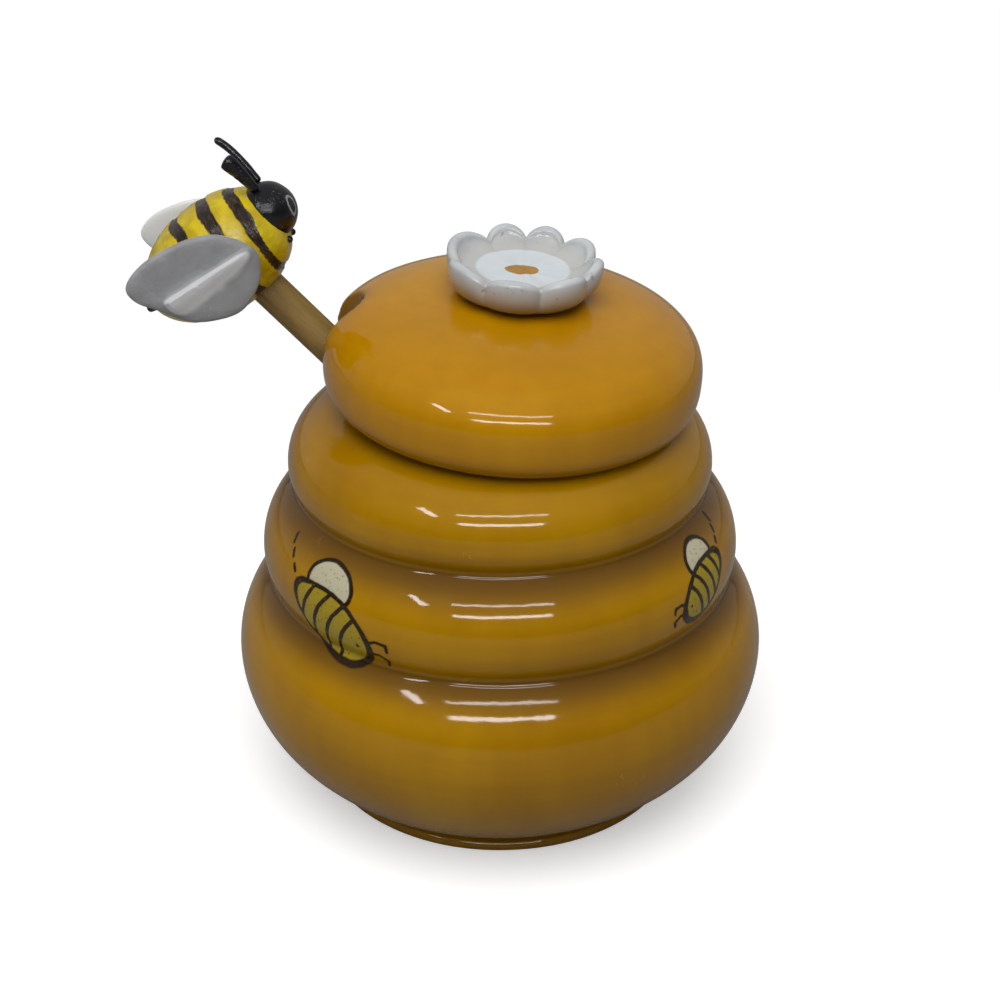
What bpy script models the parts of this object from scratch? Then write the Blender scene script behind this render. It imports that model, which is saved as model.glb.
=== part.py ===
# A stoneware honey pot shaped like a beehive: three stacked rolls, a lift-off lid that is the
# fourth roll, a white daisy for its knob, and a turned wooden dipper that leaves through a notch
# in the lid and carries a painted bee. Metres, +Z up, origin at the centre of the flat underside.
import bmesh
import bpy
from math import atan2, cos, hypot, pi, radians, sin
from mathutils import Matrix, Vector

# Clearances and finish shared by all pieces
SEAT_GAP = 0.0003        # space left between two pieces that touch
CUT_OVERRUN = 0.002      # how far a cutter runs past what it cuts
MERGE_DISTANCE = 0.00001
TURN_STEPS = 44
QUARTER = pi / 2

# Pot: outer rolls from the top one down, each with its own bulge above and below its widest line
POT_WALL = 0.0042
POT_FLOOR = 0.0050
ROLL_A_RADIUS, ROLL_A_HEIGHT = 0.0447, 0.0736
ROLL_A_REACH_UP, ROLL_A_RISE = 0.0144, 0.0130
ROLL_A_REACH_DOWN, ROLL_A_DROP = 0.0138, 0.0110
ROLL_B_RADIUS, ROLL_B_HEIGHT = 0.0509, 0.0548
ROLL_B_REACH_UP, ROLL_B_RISE = 0.0145, 0.0152
ROLL_B_REACH_DOWN, ROLL_B_DROP = 0.0145, 0.0133
ROLL_C_RADIUS, ROLL_C_HEIGHT = 0.0575, 0.0307
ROLL_C_REACH_UP, ROLL_C_RISE = 0.0206, 0.0220
ROLL_C_REACH_DOWN, ROLL_C_DROP = 0.0395, 0.0326
VALLEY_FILLET = 0.0009
LIP_OUTSET = 0.0005      # the lip's crest lies a little outside the top roll's own crest
FOOT_RADIUS, FOOT_HEIGHT, FOOT_ROUNDING = 0.0410, 0.0026, 0.0007
FLOOR_BLEND = 0.0060

# Lid: heights are measured from the plane of its seat on the pot's lip
LID_OVERHANG, LID_WIDEST_HEIGHT = 0.0078, 0.0050
LID_CROWN_RISE, LID_CROWN_POWER = 0.0154, 2.95
LID_WALL = 0.0040
LID_EDGE_OVERHANG, LID_EDGE_DROP, LID_EDGE_ROUNDING = 0.0042, 0.0008, 0.0012
FLANGE_PLAY, FLANGE_WALL, FLANGE_DEPTH = 0.0029, 0.0032, 0.0045
# The lid sits askew: moved by a share of its flange's play, and tipped towards its low side
LID_SHIFT_SHARE, LID_SHIFT_SIDE = 0.97, radians(-37.6)
LID_TILT, LID_LOW_SIDE = radians(5.3), radians(-51.7)
NOTCH_CLEARANCE, NOTCH_OUTSET = 0.0032, 0.0014
NOTCH_ASIDE = 0.0017     # the stick lies nearer one side of the notch than the other
FLANGE_GAP_CLEARANCE = 0.0013

# Daisy knob, luted on the lid's crown
PETAL_COUNT = 8
DAISY_RADIUS, DAISY_HEIGHT = 0.0160, 0.0086
DAISY_BASE_RADIUS, DAISY_WALL, DAISY_FLOOR = 0.0104, 0.0021, 0.0048
DAISY_SHIFT_RIGHT, DAISY_SHIFT_BACK = 0.0008, 0.0018
PETAL_NOTCH_DEPTH, PETAL_NOTCH_DROP = 0.0019, 0.0026
PETAL_STEPS = 6

# Dipper: a stick that leans on the pot's lip, with a grooved head turned from the same wood
STICK_RADIUS, STICK_CHAMFER = 0.0037, 0.0004
STICK_LEAN = radians(43.0)
STICK_ABOVE_LIP, HEAD_CLEARANCE = 0.0318, 0.0006
HEAD_LENGTH, HEAD_RADIUS, HEAD_END_RADIUS = 0.0260, 0.0110, 0.0070
HEAD_CORE_RADIUS, DISC_COUNT, GROOVE_WIDTH = 0.0048, 7, 0.0015
HEAD_SHOULDER = 0.0022

# Bee: its frame has X towards its head, Z towards its back, and the stick's axis along Z
BEE_HALF_LENGTH, BEE_HALF_HEIGHT, BEE_HALF_WIDTH = 0.0164, 0.0112, 0.0118
BEE_SEAT_DEPTH = 0.0020  # how deep the stick's end is let into the belly
BEE_BEHIND_STICK = 0.0032
BEE_BLUNT_POWER, BEE_TAIL_POWER = 2.5, 1.9
BEE_PITCH = radians(6.0)   # the egg leans this much, tail up
BEE_HEAD_RADIUS, BEE_HEAD_SUNK, BEE_HEAD_DROP = 0.0059, 0.0017, 0.0005
STING_LENGTH, STING_RADIUS, STING_SUNK = 0.0040, 0.0019, 0.0022
FOOT_BUD_RADIUS, FOOT_BUD_SETBACK, FOOT_BUD_SPREAD = 0.0010, 0.0014, radians(22.0)
WING_LENGTH, WING_WIDTH, WING_THICKNESS = 0.0252, 0.0172, 0.0015
# How far behind the front of the egg each wing is rooted, above its middle and off its flank
WING_ROOTS = {"right": (0.0055, -0.0023, 0.0004), "left": (0.0095, 0.0001, 0.0)}
WING_PITCH, WING_SPLAY = radians(15.7), radians(15.6)
RIDGE_RADIUS, RIDGE_END_RADIUS, RIDGE_SHARE = 0.0006, 0.0011, 0.78
ANTENNA_LENGTHS = {"left": 0.0121, "right": 0.0084}
ANTENNA_ROOT_RADIUS = 0.0008
ANTENNA_TIP_RADII = {"left": 0.0008, "right": 0.0014}
ANTENNA_LEANS = {"left": radians(-6.0), "right": radians(3.0)}
ANTENNA_SPREAD, ANTENNA_FORWARD = radians(30.0), radians(24.0)

# Leaf outline of a wing, from its root round the back edge: shares of its length and width
WING_OUTLINE_SHARES = [
    (0.00, 0.00), (0.18, 0.33), (0.44, 0.47), (0.76, 0.48), (0.97, 0.36), (0.98, 0.16),
    (0.85, -0.09), (0.73, -0.31), (0.59, -0.45), (0.36, -0.54), (0.18, -0.45), (0.05, -0.27),
]


def clear_scene():
    for obj in list(bpy.data.objects):
        bpy.data.objects.remove(obj, do_unlink=True)


def new_collection(name):
    collection = bpy.data.collections.new(name)
    bpy.context.scene.collection.children.link(collection)
    return collection


def make_material(name, colour, roughness, metallic=0.0):
    material = bpy.data.materials.new(name)
    material.use_nodes = True
    shader = material.node_tree.nodes["Principled BSDF"]
    shader.inputs["Base Color"].default_value = (*colour, 1.0)
    shader.inputs["Roughness"].default_value = roughness
    shader.inputs["Metallic"].default_value = metallic
    material.diffuse_color = (*colour, 1.0)
    return material


def add_object(name, data, collection, material=None, parent=None):
    obj = bpy.data.objects.new(name, data)
    collection.objects.link(obj)
    obj.parent = parent
    if material:
        data.materials.append(material)
    return obj


def add_empty(name, collection, matrix):
    empty = bpy.data.objects.new(name, None)
    collection.objects.link(empty)
    empty.matrix_world = matrix
    return empty


def mesh_from(bm, name):
    bmesh.ops.recalc_face_normals(bm, faces=bm.faces)
    mesh = bpy.data.meshes.new(name)
    bm.to_mesh(mesh)
    bm.free()
    mesh.shade_smooth()
    mesh.set_sharp_from_angle(angle=radians(40))
    return mesh


def turned(name, profile, collection, material, parent=None, steps=TURN_STEPS):
    """A profile of (radius, height) points, down the outer side, turned about the local Z axis."""
    mesh = bpy.data.meshes.new(name)
    points = [(radius, 0.0, height) for radius, height in profile]
    edges = [(i, i + 1) for i in range(len(points) - 1)]
    mesh.from_pydata(points, edges, [])
    obj = add_object(name, mesh, collection, material, parent)
    screw = obj.modifiers.new("turned", "SCREW")
    screw.axis = "Z"
    screw.angle = 2 * pi
    screw.steps = screw.render_steps = steps
    screw.use_merge_vertices = True
    screw.merge_threshold = MERGE_DISTANCE
    screw.use_smooth_shade = True
    return obj


def cutter_from(bm, name, matrix, parent=None):
    cutter = add_object(name, mesh_from(bm, name), cutters, None, parent)
    cutter.matrix_local = matrix
    cutter.hide_render = True
    cutter.display_type = "WIRE"
    return cutter


def boolean(obj, other, operation="DIFFERENCE"):
    modifier = obj.modifiers.new(other.name, "BOOLEAN")
    modifier.operation = operation
    modifier.object = other


def meshed(obj):
    """A curve object turned into a mesh object with its caps welded on."""
    bpy.context.view_layer.update()
    graph = bpy.context.evaluated_depsgraph_get()
    mesh = bpy.data.meshes.new_from_object(obj.evaluated_get(graph))
    bm = bmesh.new()
    bm.from_mesh(mesh)
    bmesh.ops.remove_doubles(bm, verts=bm.verts, dist=MERGE_DISTANCE)
    bm.to_mesh(mesh)
    bm.free()
    solid = add_object(obj.name + "_solid", mesh, obj.users_collection[0], None, obj.parent)
    solid.matrix_local = obj.matrix_local.copy()
    name = obj.name
    bpy.data.objects.remove(obj, do_unlink=True)
    solid.name = name
    return solid


# Profiles of the pot

ROLLS = [
    (ROLL_A_RADIUS, ROLL_A_HEIGHT, ROLL_A_REACH_UP, ROLL_A_RISE, ROLL_A_REACH_DOWN, ROLL_A_DROP),
    (ROLL_B_RADIUS, ROLL_B_HEIGHT, ROLL_B_REACH_UP, ROLL_B_RISE, ROLL_B_REACH_DOWN, ROLL_B_DROP),
    (ROLL_C_RADIUS, ROLL_C_HEIGHT, ROLL_C_REACH_UP, ROLL_C_RISE, ROLL_C_REACH_DOWN, ROLL_C_DROP),
]


def roll_point(roll, turn):
    """A point of one roll: turn is 90 degrees at its crest, 0 at its widest, -90 below."""
    radius, height, reach_up, rise, reach_down, drop = roll
    reach, climb = (reach_up, rise) if turn > 0 else (reach_down, drop)
    return radius - reach + reach * cos(turn), height + climb * sin(turn)


def turn_at(roll, height, side):
    """The turn at which a roll passes a height, above (1) or below (-1) its widest line."""
    climb = roll[3] if side > 0 else roll[5]
    share = min(max((height - roll[1]) / climb, -1.0), 1.0)
    return atan2(share, max(1 - share * share, 0.0) ** 0.5)


def valley_height(upper, lower):
    """The height at which the underside of one roll meets the crest of the next."""
    low, high = max(upper[1] - upper[5], lower[1]), min(upper[1], lower[1] + lower[3])
    for _ in range(40):
        middle = (low + high) / 2
        above = roll_point(upper, turn_at(upper, middle, -1))[0]
        below = roll_point(lower, turn_at(lower, middle, 1))[0]
        low, high = (low, middle) if above > below else (middle, high)
    return (low + high) / 2


def blend(start, corner, end, count):
    """Points of a smooth bend that replaces a corner."""
    points = []
    for i in range(1, count):
        t = i / count
        points.append(tuple(
            (1 - t) ** 2 * a + 2 * t * (1 - t) * b + t * t * c
            for a, b, c in zip(start, corner, end)
        ))
    return points


def arc_points(roll, start, end, count):
    return [roll_point(roll, start + (end - start) * i / count) for i in range(count + 1)]


def pot_outside():
    """The pot's outer line, from the crest of its lip down to the top of its foot."""
    upper, middle, lower = ROLLS
    valleys = [valley_height(upper, middle), valley_height(middle, lower)]
    start = QUARTER - LIP_OUTSET / upper[2]
    counts = [(4, 3), (4, 3), (4, 7)]
    points = []
    for i, roll in enumerate(ROLLS):
        if i:
            start = turn_at(roll, valleys[i - 1] - VALLEY_FILLET, 1)
            crease = roll_point(roll, turn_at(roll, valleys[i - 1], 1))
            points += blend(points[-1], crease, roll_point(roll, start), 3)
        last = i == len(ROLLS) - 1
        floor = FOOT_HEIGHT if last else valleys[i] + VALLEY_FILLET
        end = turn_at(roll, floor, -1)
        points += arc_points(roll, start, 0.0, counts[i][0])
        points += arc_points(roll, 0.0, end, counts[i][1])[1:]
    return points


def inset(points, depth):
    """The same line moved in by the wall's thickness, along its normals."""
    moved = []
    for i, (radius, height) in enumerate(points):
        before, after = points[max(i - 1, 0)], points[min(i + 1, len(points) - 1)]
        across, down = after[0] - before[0], after[1] - before[1]
        length = hypot(across, down)
        moved.append((radius + down / length * depth, height - across / length * depth))
    return moved


def pot_inside():
    """The pot's inner line, from under its lip down to where it turns into the floor."""
    inside = inset(pot_outside(), POT_WALL)
    return [point for point in inside[::2] if point[1] > POT_FLOOR + FLOOR_BLEND / 2]


def pot_profile():
    outside, inside = pot_outside(), pot_inside()
    lip_radius = POT_WALL / 2
    crest = outside[0]
    lip = [
        (crest[0] - lip_radius * sin(turn), crest[1] - lip_radius + lip_radius * cos(turn))
        for turn in [pi * i / 6 for i in range(1, 6)]
    ]
    last = inside[-1]
    corner = (last[0] - FLOOR_BLEND / 2, POT_FLOOR)
    bend = blend(last, corner, (corner[0] - FLOOR_BLEND, POT_FLOOR), 4)
    foot = [
        (FOOT_RADIUS - FOOT_ROUNDING, FOOT_HEIGHT - FOOT_ROUNDING / 2),
        (FOOT_RADIUS, FOOT_HEIGHT - 2 * FOOT_ROUNDING),
        (FOOT_RADIUS, FOOT_ROUNDING),
        (FOOT_RADIUS - FOOT_ROUNDING, 0.0),
    ]
    floor = [(0.0, POT_FLOOR), (corner[0] - FLOOR_BLEND, POT_FLOOR)]
    return floor + bend[::-1] + inside[::-1] + lip[::-1] + outside + foot + [(0.0, 0.0)]


def lip_centre():
    """Centre of the lip's round edge, as (radius, height)."""
    crest = pot_outside()[0]
    return crest[0], crest[1] - POT_WALL / 2


def lid_radius():
    return lip_centre()[0] + LID_OVERHANG


def flange_radius():
    return lip_centre()[0] - POT_WALL / 2 - FLANGE_PLAY


# Frames of the two pieces that move

def lid_frame():
    """The lid tips about the point where its low side touches the lip."""
    radius, height = lip_centre()
    towards = Vector((cos(LID_LOW_SIDE), sin(LID_LOW_SIDE), 0.0))
    contact = towards * radius + Vector((0.0, 0.0, height + POT_WALL / 2 + SEAT_GAP))
    hinge = towards.cross(Vector((0.0, 0.0, -1.0)))
    shift = Vector((cos(LID_SHIFT_SIDE), sin(LID_SHIFT_SIDE), 0.0))
    offset = Matrix.Translation(shift * LID_SHIFT_SHARE * FLANGE_PLAY - towards * radius)
    return Matrix.Translation(contact) @ Matrix.Rotation(LID_TILT, 4, hinge) @ offset


def dipper_frame():
    """Local Z runs up the stick, and the stick's bee end is the origin."""
    radius, height = lip_centre()
    stand_off = POT_WALL / 2 + SEAT_GAP + STICK_RADIUS
    along = Vector((-sin(STICK_LEAN), 0.0, cos(STICK_LEAN)))
    rest = Vector((
        stand_off * cos(STICK_LEAN) - radius, 0.0, height + stand_off * sin(STICK_LEAN)
    ))
    place = Matrix.Translation(rest + along * STICK_ABOVE_LIP)
    return place @ Matrix.Rotation(-STICK_LEAN, 4, "Y")


# Pieces

def make_pot():
    return turned("pot_body", pot_profile(), parts, glaze)


def lid_crown(radius, rise, count):
    """A flattened dome from the lid's centre out to its widest line."""
    points = []
    for i in range(count + 1):
        turn = QUARTER * (1 - i / count)
        share = 2 / LID_CROWN_POWER
        points.append((radius * max(cos(turn), 0.0) ** share, rise * sin(turn) ** share))
    points[0] = (0.0, rise)
    return points


def lid_profile():
    radius, rounding = lid_radius(), LID_EDGE_ROUNDING
    dome = [(r, LID_WIDEST_HEIGHT + z) for r, z in lid_crown(radius, LID_CROWN_RISE, 10)]
    edge = lip_centre()[0] + LID_EDGE_OVERHANG
    edge_low = (edge, -LID_EDGE_DROP)
    under = blend(dome[-1], (radius, -LID_EDGE_DROP / 2), edge_low, 4) + [edge_low]
    seat_start = (edge - 2 * rounding, 0.0)
    under += blend(edge_low, (edge - rounding, -LID_EDGE_DROP), seat_start, 2) + [seat_start]
    outer_flange, inner_flange = flange_radius(), flange_radius() - FLANGE_WALL
    flange = [
        (outer_flange, 0.0),
        (outer_flange, -FLANGE_DEPTH + rounding / 2),
        (outer_flange - rounding / 2, -FLANGE_DEPTH),
        (inner_flange + rounding / 2, -FLANGE_DEPTH),
        (inner_flange, -FLANGE_DEPTH + rounding / 2),
        (inner_flange, LID_WALL),
    ]
    hollow = lid_crown(radius - LID_WALL, LID_CROWN_RISE - LID_WALL, 6)
    hollow = [(r, LID_WIDEST_HEIGHT + z) for r, z in hollow]
    roll_corner = (radius - LID_WALL, LID_WALL - LID_EDGE_DROP)
    turn_in = blend(hollow[-1], roll_corner, (inner_flange, LID_WALL), 3)
    return dome + under + flange + turn_in[::-1] + hollow[::-1]


def stick_at_widest():
    """Where the stick's axis crosses the lid's widest plane, in the lid's own frame."""
    to_lid = lid_frame().inverted() @ dipper_frame()
    start, up = to_lid.translation, to_lid.to_3x3() @ Vector((0.0, 0.0, 1.0))
    return start + up * (LID_WIDEST_HEIGHT - start.z) / up.z


def make_lid(frame):
    lid = turned("lid", lid_profile(), parts, glaze, frame)
    stick = stick_at_widest()
    face = Matrix.Rotation(atan2(stick.y, stick.x), 4, "Z")
    centre = hypot(stick.x, stick.y) + NOTCH_OUTSET
    tall = LID_WIDEST_HEIGHT + LID_CROWN_RISE + FLANGE_DEPTH + 2 * CUT_OVERRUN
    middle = (LID_WIDEST_HEIGHT + LID_CROWN_RISE - FLANGE_DEPTH) / 2
    radius = STICK_RADIUS + NOTCH_CLEARANCE
    bm = bmesh.new()
    bmesh.ops.create_cone(
        bm, cap_ends=True, segments=32, radius1=radius, radius2=radius, depth=tall
    )
    place = face @ Matrix.Translation((centre, -NOTCH_ASIDE, middle))
    boolean(lid, cutter_from(bm, "notch_cutter", place, frame))
    # The flange and its land are open where the stick passes under the crown
    inner = flange_radius() - FLANGE_WALL - CUT_OVERRUN
    length, width = centre - inner, 2 * (STICK_RADIUS + FLANGE_GAP_CLEARANCE)
    low, high = -FLANGE_DEPTH - CUT_OVERRUN, LID_WIDEST_HEIGHT + LID_WALL
    bm = bmesh.new()
    bmesh.ops.create_cube(bm, size=1.0)
    bmesh.ops.scale(bm, vec=(length, width, high - low), verts=bm.verts)
    place = face @ Matrix.Translation((inner + length / 2, 0.0, (low + high) / 2))
    boolean(lid, cutter_from(bm, "flange_gap_cutter", place, frame))
    return lid


def petal_share(angle):
    """1 along the middle of a petal, 0 at the notch between two petals."""
    return abs(cos(angle * PETAL_COUNT / 2)) ** 0.8


def daisy_profile():
    """The knob before its petals are pressed: a small bowl with a thick rounded rim."""
    rim = DAISY_RADIUS - DAISY_WALL / 2
    half_wall = DAISY_WALL / 2
    inner_floor = DAISY_BASE_RADIUS - DAISY_WALL / 2
    crest = DAISY_HEIGHT - half_wall
    inner = blend((inner_floor, DAISY_FLOOR), (rim - half_wall, DAISY_FLOOR), (rim - half_wall, crest), 3)
    outer = blend((rim + half_wall, crest), (rim + half_wall, 0.0), (DAISY_BASE_RADIUS, 0.0), 4)
    lip = [
        (rim - half_wall * cos(pi * i / 4), crest + half_wall * sin(pi * i / 4)) for i in range(5)
    ]
    return [(0.0, DAISY_FLOOR), (inner_floor, DAISY_FLOOR)] + inner + lip + outer + [
        (DAISY_BASE_RADIUS, 0.0), (0.0, 0.0)
    ]


def make_daisy(frame):
    bowl = turned("daisy_knob", daisy_profile(), parts, None, None, PETAL_COUNT * PETAL_STEPS)
    bpy.context.view_layer.update()
    graph = bpy.context.evaluated_depsgraph_get()
    mesh = bpy.data.meshes.new_from_object(bowl.evaluated_get(graph))
    bpy.data.objects.remove(bowl, do_unlink=True)
    for vertex in mesh.vertices:
        x, y, z = vertex.co
        radius, angle = hypot(x, y), atan2(y, x)
        notch = 1 - petal_share(angle)
        pull = notch * min(radius / DAISY_RADIUS, 1.0) ** 3
        climb = notch * max(z / DAISY_HEIGHT, 0.0) ** 2 * min(radius / DAISY_RADIUS, 1.0) ** 3
        if radius > MERGE_DISTANCE:
            scale = (radius - PETAL_NOTCH_DEPTH * pull) / radius
            vertex.co = (x * scale, y * scale, z - PETAL_NOTCH_DROP * climb)
    mesh.shade_smooth()
    daisy = add_object("daisy_knob", mesh, parts, white_glaze, frame)
    crown = LID_WIDEST_HEIGHT + LID_CROWN_RISE
    turned_round = Matrix.Rotation(pi / PETAL_COUNT, 4, "Z")
    place = Matrix.Translation((DAISY_SHIFT_RIGHT, DAISY_SHIFT_BACK, crown + SEAT_GAP))
    daisy.matrix_local = place @ turned_round
    return daisy


def inner_radius(height):
    """How far out the pot's inner line is at a height."""
    line = pot_inside()
    for (upper_r, upper_z), (lower_r, lower_z) in zip(line, line[1:]):
        if lower_z <= height <= upper_z:
            return lower_r + (upper_r - lower_r) * (height - lower_z) / (upper_z - lower_z)
    return 0.0


def dipper_length():
    """The dipper reaches down until the end of its head rests against the pot's wall."""
    frame = dipper_frame()
    short, long = HEAD_LENGTH, 2 * (ROLL_C_RADIUS + ROLL_A_HEIGHT)
    facet = 1 - cos(pi / TURN_STEPS)
    for _ in range(40):
        middle = (short + long) / 2
        corner = frame @ Vector((HEAD_END_RADIUS, 0.0, -middle))
        low = frame @ Vector((-HEAD_END_RADIUS, 0.0, -middle))
        room = inner_radius(corner.z) * (1 - facet) - corner.x
        clear = min(room, low.z - POT_FLOOR) > HEAD_CLEARANCE
        short, long = (middle, long) if clear else (short, middle)
    return short


def dipper_profile():
    total = dipper_length()
    head_top = -(total - HEAD_LENGTH)
    profile = [
        (0.0, 0.0), (STICK_RADIUS - STICK_CHAMFER, 0.0), (STICK_RADIUS, -STICK_CHAMFER),
        (STICK_RADIUS, head_top + HEAD_SHOULDER),
    ]
    pitch = (HEAD_LENGTH + GROOVE_WIDTH) / DISC_COUNT
    for i in range(DISC_COUNT):
        share = i / (DISC_COUNT - 1)
        radius = HEAD_END_RADIUS + (HEAD_RADIUS - HEAD_END_RADIUS) * sin(pi * (0.15 + 0.85 * share))
        top = head_top - i * pitch
        bottom = top - pitch + GROOVE_WIDTH
        if i:
            profile.append((HEAD_CORE_RADIUS, top))
        profile += [(radius - STICK_CHAMFER, top), (radius, (top + bottom) / 2)]
        profile.append((radius - STICK_CHAMFER, bottom))
        if i < DISC_COUNT - 1:
            profile.append((HEAD_CORE_RADIUS, bottom))
    return profile + [(0.0, -total)]


def make_dipper(frame):
    return turned("dipper", dipper_profile(), parts, wood, frame, 24)


def bee_centre():
    return Vector((-BEE_BEHIND_STICK, 0.0, BEE_HALF_HEIGHT - BEE_SEAT_DEPTH))


def egg_place():
    """The egg's own frame in the dipper's frame: X towards its blunt end."""
    return Matrix.Translation(bee_centre()) @ Matrix.Rotation(BEE_PITCH, 4, "Y")


def bee_girth(forward):
    """How wide the egg is at a place along it, as a share: blunt in front, pointed behind."""
    power = BEE_BLUNT_POWER if forward > 0 else BEE_TAIL_POWER
    return max(1 - abs(forward) ** power, 0.0) ** (1 / power)


def sphere_form(radius, across=18, along=11):
    bm = bmesh.new()
    bmesh.ops.create_uvsphere(bm, u_segments=across, v_segments=along, radius=radius)
    return bm


def make_bee_body(frame):
    bm = sphere_form(1.0, 20, 14)
    bmesh.ops.rotate(bm, matrix=Matrix.Rotation(QUARTER, 3, "Y"), verts=bm.verts)
    for vertex in bm.verts:
        forward = vertex.co.x
        ring = hypot(vertex.co.y, vertex.co.z)
        girth = bee_girth(forward) / ring if ring > MERGE_DISTANCE else 0.0
        vertex.co = (
            forward * BEE_HALF_LENGTH,
            vertex.co.y * girth * BEE_HALF_WIDTH,
            vertex.co.z * girth * BEE_HALF_HEIGHT,
        )
    body = add_object("bee_body", mesh_from(bm, "bee_body"), parts, yellow, frame)
    body.matrix_local = egg_place()

    bm = bmesh.new()
    bmesh.ops.create_cone(
        bm, cap_ends=True, segments=12, radius1=STING_RADIUS, radius2=STING_RADIUS / 3,
        depth=STING_LENGTH
    )
    place = egg_place() @ Matrix.Translation((
        STING_SUNK - BEE_HALF_LENGTH - STING_LENGTH / 2, 0.0, 0.0
    )) @ Matrix.Rotation(-QUARTER, 4, "Y")
    boolean(body, cutter_from(bm, "sting_form", place, frame), "UNION")

    forward = BEE_HALF_LENGTH - FOOT_BUD_SETBACK
    for side, name in ((-1, "right_foot_form"), (1, "left_foot_form")):
        girth = bee_girth(forward / BEE_HALF_LENGTH)
        spot = Vector((
            forward,
            side * girth * BEE_HALF_WIDTH * sin(FOOT_BUD_SPREAD),
            -girth * BEE_HALF_HEIGHT * cos(FOOT_BUD_SPREAD),
        ))
        place = egg_place() @ Matrix.Translation(spot)
        form = cutter_from(sphere_form(FOOT_BUD_RADIUS, 10, 8), name, place, frame)
        boolean(body, form, "UNION")

    bm = sphere_form(BEE_HEAD_RADIUS + SEAT_GAP, 18, 12)
    place = Matrix.Translation(head_centre())
    boolean(body, cutter_from(bm, "head_socket_cutter", place, frame))

    bm = bmesh.new()
    depth = BEE_SEAT_DEPTH + BEE_HALF_HEIGHT / 2
    bore = STICK_RADIUS + SEAT_GAP
    bmesh.ops.create_cone(
        bm, cap_ends=True, segments=20, radius1=bore, radius2=bore, depth=depth
    )
    place = Matrix.Translation((0.0, 0.0, SEAT_GAP - depth / 2))
    boolean(body, cutter_from(bm, "stick_socket_cutter", place, frame))
    return body


def head_centre():
    return bee_centre() + Vector((BEE_HALF_LENGTH - BEE_HEAD_SUNK, 0.0, -BEE_HEAD_DROP))


def make_bee_head(frame):
    bm = sphere_form(BEE_HEAD_RADIUS)
    head = add_object("bee_head", mesh_from(bm, "bee_head"), parts, black, frame)
    head.location = head_centre()
    return head


def wing_place(side, hand):
    """The wing's own frame: X from its root to its tip, Y across it, Z out of the bee's flank."""
    setback, rise, stand_off = WING_ROOTS[hand]
    root = Vector((BEE_HALF_LENGTH - setback, 0.0, rise))
    inside = Matrix.Rotation(-BEE_PITCH, 3, "Y") @ root
    girth = bee_girth(inside.x / BEE_HALF_LENGTH)
    flank = max(girth ** 2 - (inside.z / BEE_HALF_HEIGHT) ** 2, 0.0) ** 0.5 * BEE_HALF_WIDTH
    root.y = side * (flank + SEAT_GAP + WING_THICKNESS / 2 + stand_off)
    along = Vector((-cos(WING_PITCH), 0.0, sin(WING_PITCH)))
    along = along * cos(WING_SPLAY) + Vector((0.0, side * sin(WING_SPLAY), 0.0))
    across = Vector((sin(WING_PITCH), 0.0, cos(WING_PITCH)))
    out = along.cross(across)
    turn = Matrix((along, across, out)).transposed().to_4x4()
    return Matrix.Translation(bee_centre() + root) @ turn


def make_wing(name, side, hand, frame):
    curve = bpy.data.curves.new(name, "CURVE")
    curve.dimensions = "2D"
    curve.fill_mode = "BOTH"
    curve.resolution_u = 3
    curve.bevel_resolution = 1
    curve.bevel_depth = WING_THICKNESS / 4
    curve.extrude = WING_THICKNESS / 4
    spline = curve.splines.new("BEZIER")
    spline.bezier_points.add(len(WING_OUTLINE_SHARES) - 1)
    inner = WING_THICKNESS / 4
    for point, (along, across) in zip(spline.bezier_points, WING_OUTLINE_SHARES):
        point.co = (
            inner + along * (WING_LENGTH - 2 * inner), across * (WING_WIDTH - 2 * inner), 0.0
        )
        point.handle_left_type = point.handle_right_type = "AUTO"
    spline.use_cyclic_u = True
    wing = add_object(name, curve, parts, None, frame)
    wing.matrix_local = wing_place(side, hand)
    wing = meshed(wing)
    wing.data.materials.clear()
    wing.data.materials.append(white_paint)

    # The raised rib that runs from the root along the middle of the outer face
    bm = bmesh.new()
    length = WING_LENGTH * RIDGE_SHARE
    bmesh.ops.create_cone(
        bm, cap_ends=True, segments=10, radius1=RIDGE_RADIUS, radius2=RIDGE_END_RADIUS,
        depth=length
    )
    outward = side * WING_THICKNESS / 2
    across = Matrix.Translation((length / 2 + inner * 2, 0.0, outward)) @ Matrix.Rotation(QUARTER, 4, "Y")
    rib = cutter_from(bm, name + "_rib_form", wing_place(side, hand) @ across, frame)
    boolean(wing, rib, "UNION")
    return wing


def make_antenna(name, side, hand, frame):
    direction = Vector((
        sin(ANTENNA_FORWARD), side * sin(ANTENNA_SPREAD), cos(ANTENNA_FORWARD)
    )).normalized()
    root = head_centre() + direction * (BEE_HEAD_RADIUS + SEAT_GAP)
    lean = ANTENNA_LEANS[hand]
    sweep = Vector((sin(lean), side * sin(ANTENNA_SPREAD) / 2, cos(lean)))
    length = ANTENNA_LENGTHS[hand]
    tip_radius = ANTENNA_TIP_RADII[hand]
    curve = bpy.data.curves.new(name, "CURVE")
    curve.dimensions = "3D"
    curve.bevel_depth = 1.0
    curve.bevel_resolution = 1
    curve.use_fill_caps = True
    shares = [0.0, 0.15, 0.4, 0.7, 0.88, 0.97, 1.0]
    spline = curve.splines.new("POLY")
    spline.points.add(len(shares) - 1)
    for point, share in zip(spline.points, shares):
        place = root + direction * length * share * (1 - share) / 2 + sweep.normalized() * length * share
        swell = ANTENNA_ROOT_RADIUS + (tip_radius - ANTENNA_ROOT_RADIUS) * min(share * 1.4, 1.0)
        taper = max(1 - max(share - 0.7, 0.0) ** 2 / 0.09 * 0.75, 0.25)
        point.co = (*place, 1.0)
        point.radius = swell * taper
    antenna = add_object(name, curve, parts, None, frame)
    antenna.location = (0.0, 0.0, 0.0)
    antenna = meshed(antenna)
    antenna.data.materials.clear()
    antenna.data.materials.append(black)
    return antenna


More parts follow.
